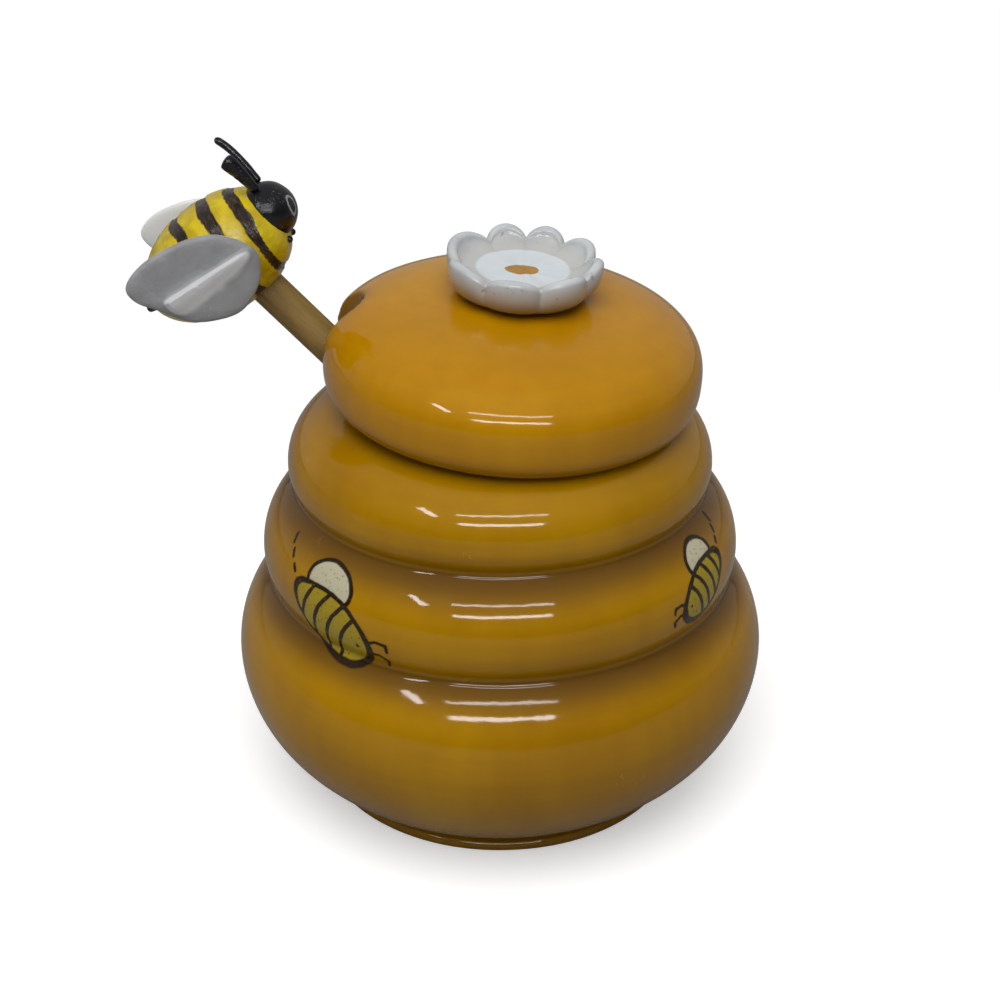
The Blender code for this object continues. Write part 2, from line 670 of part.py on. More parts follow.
clear_scene()
parts = new_collection("beehive_honey_pot")
cutters = new_collection("cutters")
glaze = make_material("ochre_glaze", (0.62, 0.30, 0.025), 0.12)
white_glaze = make_material("white_glaze", (0.80, 0.82, 0.82), 0.15)
wood = make_material("pale_wood", (0.42, 0.27, 0.11), 0.60)
yellow = make_material("yellow_paint", (0.75, 0.55, 0.02), 0.30)
black = make_material("black_paint", (0.01, 0.01, 0.012), 0.25)
white_paint = make_material("white_paint", (0.72, 0.73, 0.78), 0.45)

make_pot()
lid_axis = add_empty("lid_axis", parts, lid_frame())
make_lid(lid_axis)
make_daisy(lid_axis)
dipper_axis = add_empty("dipper_axis", parts, dipper_frame())
make_dipper(dipper_axis)
make_bee_body(dipper_axis)
make_bee_head(dipper_axis)
make_wing("bee_wing_right", -1, "right", dipper_axis)
make_wing("bee_wing_left", 1, "left", dipper_axis)
make_antenna("bee_antenna_right", -1, "right", dipper_axis)
make_antenna("bee_antenna_left", 1, "left", dipper_axis)
bpy.context.view_layer.update()
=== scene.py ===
import bpy
import bmesh
import math
from mathutils import Matrix, Quaternion, Vector, bvhtree, noise


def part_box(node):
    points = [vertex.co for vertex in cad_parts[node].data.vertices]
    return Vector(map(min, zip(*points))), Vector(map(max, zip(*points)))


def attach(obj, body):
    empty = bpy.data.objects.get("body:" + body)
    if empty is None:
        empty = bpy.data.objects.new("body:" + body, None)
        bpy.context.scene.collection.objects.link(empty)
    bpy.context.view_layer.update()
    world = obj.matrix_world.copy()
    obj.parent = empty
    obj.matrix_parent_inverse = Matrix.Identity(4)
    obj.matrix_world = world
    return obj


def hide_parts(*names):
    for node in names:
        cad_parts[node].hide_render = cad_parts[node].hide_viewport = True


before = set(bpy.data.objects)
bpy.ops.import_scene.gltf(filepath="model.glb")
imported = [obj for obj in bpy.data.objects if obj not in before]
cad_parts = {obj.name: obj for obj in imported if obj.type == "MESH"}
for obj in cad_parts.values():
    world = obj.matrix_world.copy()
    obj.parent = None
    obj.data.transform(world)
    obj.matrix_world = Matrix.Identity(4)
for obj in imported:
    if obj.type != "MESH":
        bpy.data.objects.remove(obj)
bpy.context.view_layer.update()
tau = math.tau
quarter = math.pi / 2
print("frame loaded")


# Meshes. Shapes are worked out in millimetres and scaled when they become meshes.

def millimetres():
    return Matrix.Scale(0.001, 4)


def keepLocal(mesh):
    # Stores where each point lies in the piece's own frame, in millimetres, for its material
    place = mesh.attributes.new("localPlace", "FLOAT_VECTOR", "POINT")
    flat = [0.0] * (3 * len(mesh.vertices))
    mesh.vertices.foreach_get("co", flat)
    place.data.foreach_set("vector", flat)


def keepValues(mesh, name, values):
    kept = mesh.attributes.new(name, "FLOAT", "POINT")
    kept.data.foreach_set("value", values)


def opened(mesh):
    bm = bmesh.new()
    bm.from_mesh(mesh)
    return bm


def closed(bm, mesh):
    bm.to_mesh(mesh)
    bm.free()
    mesh.shade_smooth()
    return mesh


def newObject(name, data):
    made = bpy.data.objects.new(name, data)
    bpy.context.scene.collection.objects.link(made)
    return made


def tidyMesh(mesh, merge=0.0005, sharp=None, dissolve=True):
    # Merges doubles, turns every face outwards and shades the mesh smooth
    bm = opened(mesh)
    bmesh.ops.remove_doubles(bm, verts=bm.verts, dist=merge)
    if dissolve:
        bmesh.ops.dissolve_degenerate(bm, edges=bm.edges, dist=merge / 2)
    bmesh.ops.recalc_face_normals(bm, faces=bm.faces)
    closed(bm, mesh)
    if sharp:
        mesh.set_sharp_from_angle(angle=math.radians(sharp))


def gridMesh(name, rows, columns, pointAt):
    # A grid of quads from pointAt(row, column), closed round its columns
    points = [pointAt(i, j) for i in range(rows) for j in range(columns)]
    faces = []
    for i in range(rows - 1):
        for j in range(columns):
            k = (j + 1) % columns
            faces.append((i * columns + j, i * columns + k, (i + 1) * columns + k, (i + 1) * columns + j))
    mesh = bpy.data.meshes.new(name)
    mesh.from_pydata(points, [], faces)
    return mesh


def addPiece(name, mesh, matrix, material, body, slot, *nodes):
    # Puts a finished mesh in the row frame, on its body, in place of the CAD nodes it stands for
    mesh.name = name
    mesh.transform(millimetres() @ matrix)
    if material:
        mesh.materials.clear()
        mesh.materials.append(material)
    piece = newObject(name, mesh)
    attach(piece, body)
    if nodes:
        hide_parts(*nodes)
    return piece


def evaluated(obj):
    # The object's mesh with its modifiers applied; the object itself goes
    bpy.context.view_layer.update()
    graph = bpy.context.evaluated_depsgraph_get()
    mesh = bpy.data.meshes.new_from_object(obj.evaluated_get(graph))
    bpy.data.objects.remove(obj, do_unlink=True)
    return mesh


def smoothStep(low, high, value):
    share = min(max((value - low) / (high - low), 0.0), 1.0)
    return share * share * (3 - 2 * share)


# Node helpers, for shader trees and geometry trees alike

class Shade:
    # Short calls for building one node tree

    def __init__(self, tree):
        self.tree = tree
        self.add = tree.nodes.new
        self.link = tree.links.new

    def put(self, socket, value):
        if isinstance(value, (int, float)):
            socket.default_value = value
        elif isinstance(value, tuple):
            kept = len(socket.default_value)
            socket.default_value = value if len(value) == kept else (*value, 1.0)
        elif value is not None:
            self.link(value, socket)

    def fill(self, node, values):
        for label, value in values.items():
            self.put(node.inputs[label], value)

    def node(self, kind, values, **settings):
        # A new node's outputs; values go to its inputs, by name or number
        node = self.add(kind)
        for name, setting in settings.items():
            setattr(node, name, setting)
        self.fill(node, values)
        return node.outputs

    def maths(self, operation, first, second=0.0):
        return self.node("ShaderNodeMath", {0: first, 1: second}, operation=operation)[0]

    def times(self, first, second):
        return self.maths("MULTIPLY", first, second)

    def plus(self, first, second):
        return self.maths("ADD", first, second)

    def minus(self, first, second):
        return self.maths("SUBTRACT", first, second)

    def root(self, first, second):
        # The root of the sum of two squares
        return self.maths("SQRT", self.plus(self.times(first, first), self.times(second, second)))

    def vector(self, operation, first, second=None, scale=None):
        values = {0: first, 1: second}
        if scale is not None:
            values["Scale"] = scale
        outputs = self.node("ShaderNodeVectorMath", values, operation=operation)
        return outputs["Value"] if operation == "LENGTH" else outputs[0]

    def parts(self, value):
        return self.node("ShaderNodeSeparateXYZ", {0: value})

    def join(self, x, y, z):
        return self.node("ShaderNodeCombineXYZ", {0: x, 1: y, 2: z})[0]

    def noise(self, place, scale, detail=2.0, rough=0.5, distort=0.0):
        return self.node("ShaderNodeTexNoise", {
            "Vector": place, "Scale": scale, "Detail": detail, "Roughness": rough, "Distortion": distort,
        })[0]

    def drawn(self, place, stretch, detail=2.0, rough=0.5, distort=0.0):
        # Noise with its own scale along each axis
        return self.noise(self.vector("MULTIPLY", place, stretch), 1.0, detail, rough, distort)

    def band(self, value, low, high):
        # 0 below low, 1 above high, smooth between; falls instead where low is the larger
        return self.node("ShaderNodeMapRange", {"Value": value, "From Min": low, "From Max": high},
                         interpolation_type="SMOOTHSTEP")[0]

    def mix(self, share, first, second):
        return self.node("ShaderNodeMix", {"Factor": share, 6: first, 7: second},
                         data_type="RGBA", clamp_factor=True)[2]

    def over(self, under, share, strength, colour):
        # A colour laid over another where share is 1, at most as strong as strength
        return self.mix(self.times(share, strength), under, colour)

    def bump(self, height, strength, distance, normal=None):
        return self.node("ShaderNodeBump", {
            "Height": height, "Strength": strength, "Distance": distance, "Normal": normal,
        })[0]

    def attribute(self, name):
        return self.node("ShaderNodeAttribute", {}, attribute_name=name)

    def kept(self, name):
        return self.attribute(name)["Fac"]

    def local(self):
        # The place in the piece's own frame, in millimetres
        return self.attribute("localPlace")["Vector"]

    def here(self):
        return self.add("ShaderNodeTexCoord").outputs["Object"]

    def group(self, tree, **values):
        return self.node("ShaderNodeGroup", values, node_tree=tree)["Mask"]


def newGroup(name, inputs, outputs, kind="ShaderNodeTree"):
    tree = bpy.data.node_groups.new(name, kind)
    for label, sort, value in inputs:
        socket = tree.interface.new_socket(label, in_out="INPUT", socket_type="NodeSocket" + sort)
        if value is not None:
            socket.default_value = value
    for label, sort in outputs:
        tree.interface.new_socket(label, in_out="OUTPUT", socket_type="NodeSocket" + sort)
    shade = Shade(tree)
    return shade, shade.add("NodeGroupInput").outputs, shade.add("NodeGroupOutput").inputs


def newMaterial(name):
    material = bpy.data.materials.new(name)
    material.use_nodes = True
    shade = Shade(material.node_tree)
    shader = material.node_tree.nodes["Principled BSDF"]
    return material, shade, shader


# Geometry Nodes: a profile turned about Z, with the slight unevenness of hand work

def turnedTree():
    shade, given, out = newGroup(
        "turnedPiece",
        [("Profile", "Geometry", None), ("Steps", "Int", 64), ("Wobble", "Float", 0.0),
         ("Wobble Scale", "Float", 0.05), ("Seed", "Float", 0.0), ("Material", "Material", None)],
        [("Piece", "Geometry")], "GeometryNodeTree",
    )
    node, maths, times = shade.node, shade.maths, shade.times
    count = node("GeometryNodeAttributeDomainSize", {"Geometry": given["Profile"]})["Point Count"]
    sides = {"Vertices X": shade.plus(given["Steps"], 1), "Vertices Y": count}
    grid = node("GeometryNodeMeshGrid", sides)["Mesh"]

    # Each row of the grid takes one point of the profile, and each column one angle
    index = node("GeometryNodeInputIndex", {})[0]
    row = maths("MODULO", index, count)
    column = maths("ROUND", maths("DIVIDE", shade.minus(index, row), count))
    angle = times(maths("DIVIDE", column, given["Steps"]), tau)
    sample = {
        "Geometry": given["Profile"], "Value": node("GeometryNodeInputPosition", {})[0],
        "Index": node("FunctionNodeFloatToInt", {0: row}, rounding_mode="ROUND")[0],
    }
    radius, _, height = shade.parts(
        node("GeometryNodeSampleIndex", sample, data_type="FLOAT_VECTOR", domain="POINT")[0])

    # The wobble fades out towards the axis
    cosine, sine = maths("COSINE", angle), maths("SINE", angle)
    spot = shade.join(times(radius, cosine), times(radius, sine), shade.plus(height, given["Seed"]))
    ripple = shade.noise(spot, given["Wobble Scale"], 1.0)
    fade = maths("MINIMUM", maths("DIVIDE", radius, 10.0), 1.0)
    worn = times(times(ripple, given["Wobble"]), fade)
    pulled = maths("MAXIMUM", shade.minus(radius, worn), 0.0)

    place = shade.join(times(pulled, cosine), times(pulled, sine), height)
    moved = node("GeometryNodeSetPosition", {"Geometry": grid, "Position": place})[0]
    welded = node("GeometryNodeMergeByDistance", {"Geometry": moved, "Distance": 0.0005})[0]
    real = node("GeometryNodeRealizeInstances", {0: welded})[0]
    paint = node("GeometryNodeSetMaterial", {"Geometry": real, "Material": given["Material"]})[0]
    shade.link(paint, out[0])
    return shade.tree


def turnedMesh(name, profile, material, steps, wobble=0.0, wobbleScale=0.05, seed=0.0):
    # The mesh of a profile of (radius, height) points, turned by the node tree
    line = bpy.data.meshes.new(name)
    edges = [(i, i + 1) for i in range(len(profile) - 1)]
    line.from_pydata([(r, 0.0, z) for r, z in profile], edges, [])
    obj = newObject(name, line)
    turned = obj.modifiers.new("turned", "NODES")
    turned.node_group = turnedGroup
    values = {"Steps": steps, "Wobble": wobble, "Wobble Scale": wobbleScale, "Seed": seed,
              "Material": material}
    for item in turnedGroup.interface.items_tree:
        if item.name in values:
            turned[item.identifier] = values[item.name]
    return evaluated(obj)


turnedGroup = turnedTree()


# Specks and pinholes in a fired surface: where they are, from 0 to 1
specks, given, out = newGroup(
    "specks",
    [("Place", "Vector", None), ("Spacing", "Float", 9.0), ("Size", "Float", 0.35),
     ("Share", "Float", 0.3)],
    [("Mask", "Float")],
)
fine = specks.vector("SCALE", given["Place"], scale=1000.0)
spread = specks.maths("DIVIDE", 1.0, given["Spacing"])
cell = specks.node("ShaderNodeTexVoronoi", {"Vector": fine, "Scale": spread})
reach = specks.times(cell["Distance"], given["Spacing"])
ragged = specks.plus(reach, specks.times(specks.noise(given["Place"], 2500.0), 0.3))
chosen = specks.band(specks.parts(cell["Color"])[0], given["Share"], specks.minus(given["Share"], 0.02))
size = specks.times(given["Size"], specks.plus(0.4, specks.parts(cell["Color"])[1]))
spot = specks.band(ragged, specks.plus(size, 0.12), size)
specks.put(out["Mask"], specks.times(chosen, spot))
specksGroup = specks.tree

# Fine hairline scratches: thin bands of a stretched, bent noise, kept to a few patches
scratches, given, out = newGroup(
    "scratches",
    [("Place", "Vector", None), ("Density", "Float", 0.5)],
    [("Mask", "Float")],
)
aside = scratches.vector("ADD", given["Place"], (3.0, 1.0, 2.0))
sway = scratches.join(scratches.noise(given["Place"], 60.0), scratches.noise(aside, 60.0), 0.0)
bent = scratches.vector("ADD", given["Place"], scratches.vector("SCALE", sway, scale=0.01))
line = scratches.drawn(bent, (900.0, 160.0, 420.0), 1.0)
thin = scratches.band(scratches.maths("ABSOLUTE", scratches.minus(line, 0.5)), 0.010, 0.003)
least = scratches.minus(0.78, scratches.times(given["Density"], 0.2))
patch = scratches.band(scratches.noise(given["Place"], 130.0, 1.0), least, 0.80)
scratches.put(out["Mask"], scratches.times(thin, patch))
scratchesGroup = scratches.tree


glaze = dict(
    # The tones of each piece's glaze, where it is thin and where it is thick; the lid's are lighter than
    # the pot's, as painted light on the top-lit lid
    pot=((0.450, 0.224, 0.0000), (0.350, 0.162, 0.0000)),
    lid=((0.550, 0.258, 0.0000), (0.440, 0.192, 0.0000)),
    # The dark tone of glaze pooled in the creases, also used as painted shade under each roll and under the
    # lid's edge
    poolAndShadeTone=(0.105, 0.044, 0.0010), speck=(0.06, 0.022, 0.003), rubbed=(0.72, 0.48, 0.18),
    roughness=0.05, ior=1.44,
)


def ochreGlaze(piece):
    # Honey-coloured glaze in uneven thin and thick tones, darkened where it pools and by painted shade
    # below each crease and under the lid's edge
    material, shade, shader = newMaterial(piece + "Glaze")
    here = shade.here()
    broad = shade.noise(here, 22.0, 2.0, 0.5, 0.6)
    streaks = shade.drawn(here, (260.0, 260.0, 24.0))
    rings = shade.drawn(here, (6.0, 6.0, 420.0), 2.0, 0.6)
    tone = shade.plus(shade.times(broad, 0.75), shade.times(streaks, 0.18))
    tone = shade.plus(tone, shade.times(rings, 0.16))
    colour = shade.mix(shade.band(tone, 0.36, 0.74), *glaze[piece])
    # Pooled glaze and painted shade from the pool values darken the creases, the rolls below them and the
    # lid's underside
    colour = shade.mix(shade.kept("poolAndShade"), colour, glaze["poolAndShadeTone"])
    dots = shade.group(specksGroup, Place=here, Spacing=11.0, Size=0.22, Share=0.34)
    colour = shade.over(colour, dots, 0.8, glaze["speck"])
    hair = shade.group(scratchesGroup, Place=here, Density=0.35)
    colour = shade.over(colour, hair, 0.35, glaze["rubbed"])
    uneven = shade.times(shade.plus(hair, shade.noise(here, 90.0)), 0.05)
    peel = shade.plus(shade.noise(here, 170.0, 2.0), shade.times(shade.noise(here, 900.0, 1.0), 0.06))
    skin = shade.bump(peel, 0.10, 0.0006)
    shade.fill(shader, {
        "Base Color": colour, "IOR": glaze["ior"],
        "Roughness": shade.plus(glaze["roughness"], uneven),
        "Normal": shade.bump(shade.times(dots, -1.0), 0.25, 0.0002, skin),
    })
    return material


# The dipper's frame and the lid's frame, in millimetres, as the frame's pieces have them
lipRadius, lipHeight, lipRounding, seatGap = 30.8, 84.49, 2.1, 0.3
stickLean, stickRadius, stickAboveLip = math.radians(43.0), 3.7, 31.8
lidTilt, lidLowSide = math.radians(5.3), math.radians(-51.7)
lidShift, lidShiftSide = 0.97 * 2.9, math.radians(-37.6)


def dipperFrame():
    off = lipRounding + seatGap + stickRadius
    along = Vector((-math.sin(stickLean), 0.0, math.cos(stickLean)))
    rest = Vector((off * math.cos(stickLean) - lipRadius, 0.0, lipHeight + off * math.sin(stickLean)))
    return Matrix.Translation(rest + along * stickAboveLip) @ Matrix.Rotation(-stickLean, 4, "Y")


def lidFrame():
    towards = Vector((math.cos(lidLowSide), math.sin(lidLowSide), 0.0))
    contact = towards * lipRadius + Vector((0.0, 0.0, lipHeight + lipRounding + seatGap))
    hinge = towards.cross(Vector((0.0, 0.0, -1.0)))
    shift = Vector((math.cos(lidShiftSide), math.sin(lidShiftSide), 0.0))
    return (Matrix.Translation(contact) @ Matrix.Rotation(lidTilt, 4, hinge)
            @ Matrix.Translation(shift * lidShift - towards * lipRadius))


# Pot

pot = dict(
    rolls=[(44.7, 73.6, 14.4, 13.0, 13.8, 11.0), (50.9, 54.8, 14.5, 15.2, 14.5, 13.3),
           (57.5, 30.7, 20.6, 22.0, 39.5, 32.6)],
    wall=4.2, floor=5.0, fillet=1.3, lipOutset=0.5, floorBlend=6.0,
    foot=(41.0, 2.6, 0.7), steps=240, wobble=0.16,
    # Pooled glaze and painted shade in the creases: how the darkening fades above a valley, and between
    # which distances below it, where the roll above shades the roll below
    poolShadeAbove=1.1, poolShadeBelow=(6.8, 0.6), footDarkening=9.0, poolShadeRadii=(36.0, 42.0),
)


def rollPoint(roll, turn):
    radius, height, reachUp, rise, reachDown, drop = roll
    reach, climb = (reachUp, rise) if turn > 0 else (reachDown, drop)
    return radius - reach + reach * math.cos(turn), height + climb * math.sin(turn)


def turnAt(roll, height, side):
    share = min(max((height - roll[1]) / (roll[3] if side > 0 else roll[5]), -1.0), 1.0)
    return math.atan2(share, math.sqrt(max(1 - share * share, 0.0)))


def valleyHeight(upper, lower):
    low, high = max(upper[1] - upper[5], lower[1]), min(upper[1], lower[1] + lower[3])
    for _ in range(40):
        middle = (low + high) / 2
        above = rollPoint(upper, turnAt(upper, middle, -1))[0]
        below = rollPoint(lower, turnAt(lower, middle, 1))[0]
        low, high = (low, middle) if above > below else (middle, high)
    return (low + high) / 2


def blendPoints(start, corner, end, count):
    # Points of a smooth bend that replaces a corner
    made = []
    for i in range(1, count):
        t = i / count
        made.append(tuple((1 - t) ** 2 * a + 2 * t * (1 - t) * b + t * t * c
                          for a, b, c in zip(start, corner, end)))
    return made


def potOutside(fine):
    rolls, fillet = pot["rolls"], pot["fillet"]
    valleys = [valleyHeight(*rolls[0:2]), valleyHeight(*rolls[1:3])]
    start = quarter - pot["lipOutset"] / rolls[0][2]
    made = []
    for i, roll in enumerate(rolls):
        if i:
            start = turnAt(roll, valleys[i - 1] - fillet, 1)
            crease = rollPoint(roll, turnAt(roll, valleys[i - 1], 1))
            made += blendPoints(made[-1], crease, rollPoint(roll, start), 8)
        last = i == len(rolls) - 1
        end = turnAt(roll, pot["foot"][1] if last else valleys[i] + fillet, -1)
        for first, second, count in ((start, 0.0, fine), (0.0, end, fine * (2 if last else 1))):
            made += [rollPoint(roll, first + (second - first) * k / count)
                     for k in range(1 if made else 0, count + 1)]
    return made, valleys


def potProfile():
    outside, valleys = potOutside(16)
    wall, floor = pot["wall"], pot["floor"]
    inside = []
    for i, (radius, height) in enumerate(outside):
        before, after = outside[max(i - 1, 0)], outside[min(i + 1, len(outside) - 1)]
        across, down = after[0] - before[0], after[1] - before[1]
        length = math.hypot(across, down)
        place = (radius + down / length * wall, height - across / length * wall)
        if i % 3 == 0 and place[1] > floor + pot["floorBlend"] / 2:
            inside.append(place)
    crest, half = outside[0], wall / 2
    turns = [math.pi * i / 14 for i in range(1, 14)]
    lip = [(crest[0] - half * math.sin(t), crest[1] - half + half * math.cos(t)) for t in turns]
    last = inside[-1]
    corner = (last[0] - pot["floorBlend"] / 2, floor)
    flat = (corner[0] - pot["floorBlend"], floor)
    radius, height, rounding = pot["foot"]
    foot = [(radius - rounding, height - rounding / 2), (radius - rounding / 3, height - rounding),
            (radius, height - 2 * rounding), (radius, rounding), (radius - rounding / 3, rounding / 3),
            (radius - rounding, 0.0)]
    floorLine = [(0.0, floor), (flat[0] / 2, floor), flat]
    return (floorLine + blendPoints(last, corner, flat, 6)[::-1] + inside[::-1] + lip[::-1] + outside + foot
            + [(radius / 2, 0.0), (0.0, 0.0)]), valleys


def makePot(material):
    profile, valleys = potProfile()
    mesh = turnedMesh("pot", profile, material, pot["steps"], pot["wobble"], 0.045, 3.0)
    tidyMesh(mesh)
    # Darkening for the glaze: pooled glaze and painted shade in each crease, and painted shade spread down
    # the top of the roll below, in the shadow of the roll above
    poolAndShade = []
    for vertex in mesh.vertices:
        height = vertex.co.z
        radius = math.hypot(vertex.co.x, vertex.co.y)
        poolAndShadeHere = 0.0
        for valley, outer in zip(valleys, pot["poolShadeRadii"]):
            if radius > outer and height > valley:
                poolAndShadeHere = max(poolAndShadeHere, math.exp((valley - height) / pot["poolShadeAbove"]))
            elif radius > outer:
                poolAndShadeHere = max(poolAndShadeHere, smoothStep(*pot["poolShadeBelow"], valley - height))
        # Darker towards the foot as well
        poolAndShadeHere = max(poolAndShadeHere, 0.55 * smoothStep(pot["footDarkening"], 0.0, height))
        poolAndShade.append(0.9 * poolAndShadeHere)
    keepValues(mesh, "poolAndShade", poolAndShade)
    return addPiece("pot", mesh, Matrix.Identity(4), material, "pot", "ochre_glaze", "pot_body")


potPiece = makePot(ochreGlaze("pot"))
print("pot made")


# Little bees painted on the widest roll, as thin layers that follow the glaze

painting = dict(
    # Each bee: degrees round from the front, height, length, which way it flies, and its lean
    bees=[(-42.0, 54.6, 22.5, 1, -23.0), (55.0, 58.0, 17.0, -1, -26.0)],
    # Strokes are in millimetres; outlines are shares of the bee's length
    cell=0.13, lift=0.05, dash=0.30, thin=0.26, stroke=0.28, stripe=0.42,
    stripesAt=(-0.30, -0.13, 0.04, 0.20),
    feelers=([(0.38, 0.08), (0.50, 0.21), (0.60, 0.24), (0.63, 0.19)],
             [(0.44, 0.03), (0.58, 0.10), (0.68, 0.09), (0.69, 0.04)]),
    body=(0.400, 0.290, 0.012), dark=(0.022, 0.011, 0.003), pale=(0.56, 0.52, 0.36),
)


def strokeShare(distance, half):
    return smoothStep(half + 0.16, half - 0.04, abs(distance))


def lineDistance(u, v, points):
    best = 99.0
    for (ax, ay), (bx, by) in zip(points, points[1:]):
        dx, dy = bx - ax, by - ay
        t = min(max(((u - ax) * dx + (v - ay) * dy) / (dx * dx + dy * dy), 0.0), 1.0)
        best = min(best, math.hypot(u - ax - dx * t, v - ay - dy * t))
    return best


def paintedBee(u, v, size):
    # Colour and cover of a plain little bee that flies along +u, in millimetres from its middle
    u, v = u / size, v / size
    hand = 0.006 * noise.noise(Vector((u * 14, v * 14, size)))
    stroke, dark = painting["stroke"], painting["dark"]
    layers = []
    for k in range(3):
        start = -0.60 - 0.13 * k
        dash = lineDistance(u, v, [(start, 0.05 + 0.035 * k), (start - 0.06, 0.068 + 0.045 * k)])
        layers.append((strokeShare((dash + hand) * size, painting["dash"]), dark))
    for feeler in painting["feelers"]:
        reach = (lineDistance(u, v, feeler) + hand) * size
        layers.append((strokeShare(reach, painting["thin"]), dark))
    along, across = u * 0.94 + v * 0.34, v * 0.94 - u * 0.34
    wingRim = math.hypot((along + 0.06) / 0.28, (across - 0.33) / 0.17) - 1 + hand * 4
    layers.append((smoothStep(0.02, -0.02, wingRim), painting["pale"]))
    layers.append((strokeShare(wingRim * 0.19 * size, stroke), dark))
    half = 0.285 * (1 - 0.26 * smoothStep(0.1, -0.5, u))
    rim = math.hypot(u / 0.5, v / half) - 1 + hand * 3
    layers.append((smoothStep(0.02, -0.02, rim), painting["body"]))
    if rim < 0:
        for stripe in painting["stripesAt"]:
            reach = (u - stripe - 0.9 * v * v + 0.02 + hand) * size
            layers.append((strokeShare(reach, painting["stripe"]), dark))
    layers.append((strokeShare(rim * 0.2 * size, stroke), dark))
    layers.append((smoothStep(0.024, 0.014, math.hypot(u - 0.36, v - 0.04)), dark))

    found, cover = (0.0, 0.0, 0.0), 0.0
    for share, colour in layers:
        found = tuple(f + (c - f) * share for f, c in zip(found, colour))
        cover = max(cover, share)
    return (*found, cover)


def beeLayers():
    material, shade, shader = newMaterial("glazePainting")
    colour = shade.attribute("paint")
    worn = shade.band(shade.noise(shade.here(), 1500.0, 3.0), 0.30, 0.42)
    cover = shade.times(colour["Alpha"], shade.plus(0.55, shade.times(worn, 0.4)))
    shade.fill(shader, {"Base Color": colour["Color"], "Alpha": cover, "Roughness": 0.08,
                        "IOR": glaze["ior"]})
    surface = bvhtree.BVHTree.FromPolygons(
        [v.co for v in potPiece.data.vertices], [p.vertices for p in potPiece.data.polygons])
    for number, (azimuth, height, size, towards, lean) in enumerate(painting["bees"]):
        middle, lean = math.radians(azimuth), math.radians(lean)
        reach, count = size * 0.95, int(size * 1.9 / painting["cell"])
        places, paint = [], []
        for i in range(count + 1):
            for j in range(count + 1):
                across, up = reach * (2 * i / count - 1), reach * (2 * j / count - 1)
                u = towards * across * math.cos(lean) + up * math.sin(lean)
                v = up * math.cos(lean) - towards * across * math.sin(lean)
                paint.append(paintedBee(u, v, size))
                turn = middle + across / pot["rolls"][1][0]
                outwards = Vector((math.sin(turn), -math.cos(turn), 0.0))
                outside = outwards * 0.07 + Vector((0.0, 0.0, 0.001 * (height + up)))
                hit, normal, _, _ = surface.ray_cast(outside, -outwards)
                places.append((hit + normal * 0.001 * painting["lift"]) * 1000)
        faces = []
        for i in range(count):
            for j in range(count):
                first, second = i * (count + 1) + j, (i + 1) * (count + 1) + j
                corners = (first, second, second + 1, first + 1)
                if max(paint[c][3] for c in corners) > 0.02:
                    faces.append(corners)
        mesh = bpy.data.meshes.new("paintedBee")
        mesh.from_pydata(places, [], faces)
        kept = mesh.attributes.new("paint", "FLOAT_COLOR", "POINT")
        kept.data.foreach_set("color", [c for colours in paint for c in colours])
        bm = opened(mesh)
        bmesh.ops.delete(bm, geom=[v for v in bm.verts if not v.link_faces], context="VERTS")
        closed(bm, mesh)
        addPiece("paintedBee" + str(number + 1), mesh, Matrix.Identity(4), material, "pot", "ochre_glaze")


beeLayers()
print("painted bees made")


# Lid

lid = dict(
    overhang=7.8, widest=5.0, rise=15.4, power=2.95, wall=4.0,
    edgeOverhang=4.2, edgeDrop=0.8, edgeRounding=1.2,
    flangePlay=2.9, flangeWall=3.2, flangeDepth=4.5,
    notchRadius=6.9, notchOutset=1.4, notchAside=1.7, gapHalfWidth=5.0, steps=256, cell=0.51, wobble=0.10,
)


def lidCrown(radius, rise, count):
    power = 2 / lid["power"]
    made = []
    for i in range(count + 1):
        turn = quarter * (1 - i / count)
        across, up = max(math.cos(turn), 0.0) ** power, max(math.sin(turn), 0.0) ** power
        made.append((radius * across, lid["widest"] + rise * up))
    made[0] = (0.0, lid["widest"] + rise)
    return made


def lidProfile():
    radius, rounding, wall = lipRadius + lid["overhang"], lid["edgeRounding"], lid["wall"]
    dome = lidCrown(radius, lid["rise"], 60)
    edge = (lipRadius + lid["edgeOverhang"], -lid["edgeDrop"])
    under = blendPoints(dome[-1], (radius, -lid["edgeDrop"] / 2), edge, 20) + [edge]
    seat = (edge[0] - 2 * rounding, 0.0)
    under += blendPoints(edge, (edge[0] - rounding, -lid["edgeDrop"]), seat, 6) + [seat]
    outer = lipRadius - lipRounding - lid["flangePlay"]
    inner, deep = outer - lid["flangeWall"], -lid["flangeDepth"]
    flange = [(outer, 0.0), (outer, deep + rounding / 2), (outer - rounding / 2, deep),
              (inner + rounding / 2, deep), (inner, deep + rounding / 2), (inner, wall)]
    hollow = lidCrown(radius - wall, lid["rise"] - wall, 24)
    turnIn = blendPoints(hollow[-1], (radius - wall, wall - lid["edgeDrop"]), (inner, wall), 8)
    return dome + under + flange + turnIn[::-1] + hollow[::-1]


def stickInLid():
    # The stick's axis where it crosses the lid's widest plane, in the lid's frame
    toLid = lidFrame().inverted() @ dipperFrame()
    start, up = toLid.translation, toLid.to_3x3() @ Vector((0.0, 0.0, 1.0))
    return start + up * (lid["widest"] - start.z) / up.z


def cutterObject(name, bm, matrix):
    bmesh.ops.recalc_face_normals(bm, faces=bm.faces)
    mesh = closed(bm, bpy.data.meshes.new(name))
    mesh.transform(matrix)
    return newObject(name, mesh)


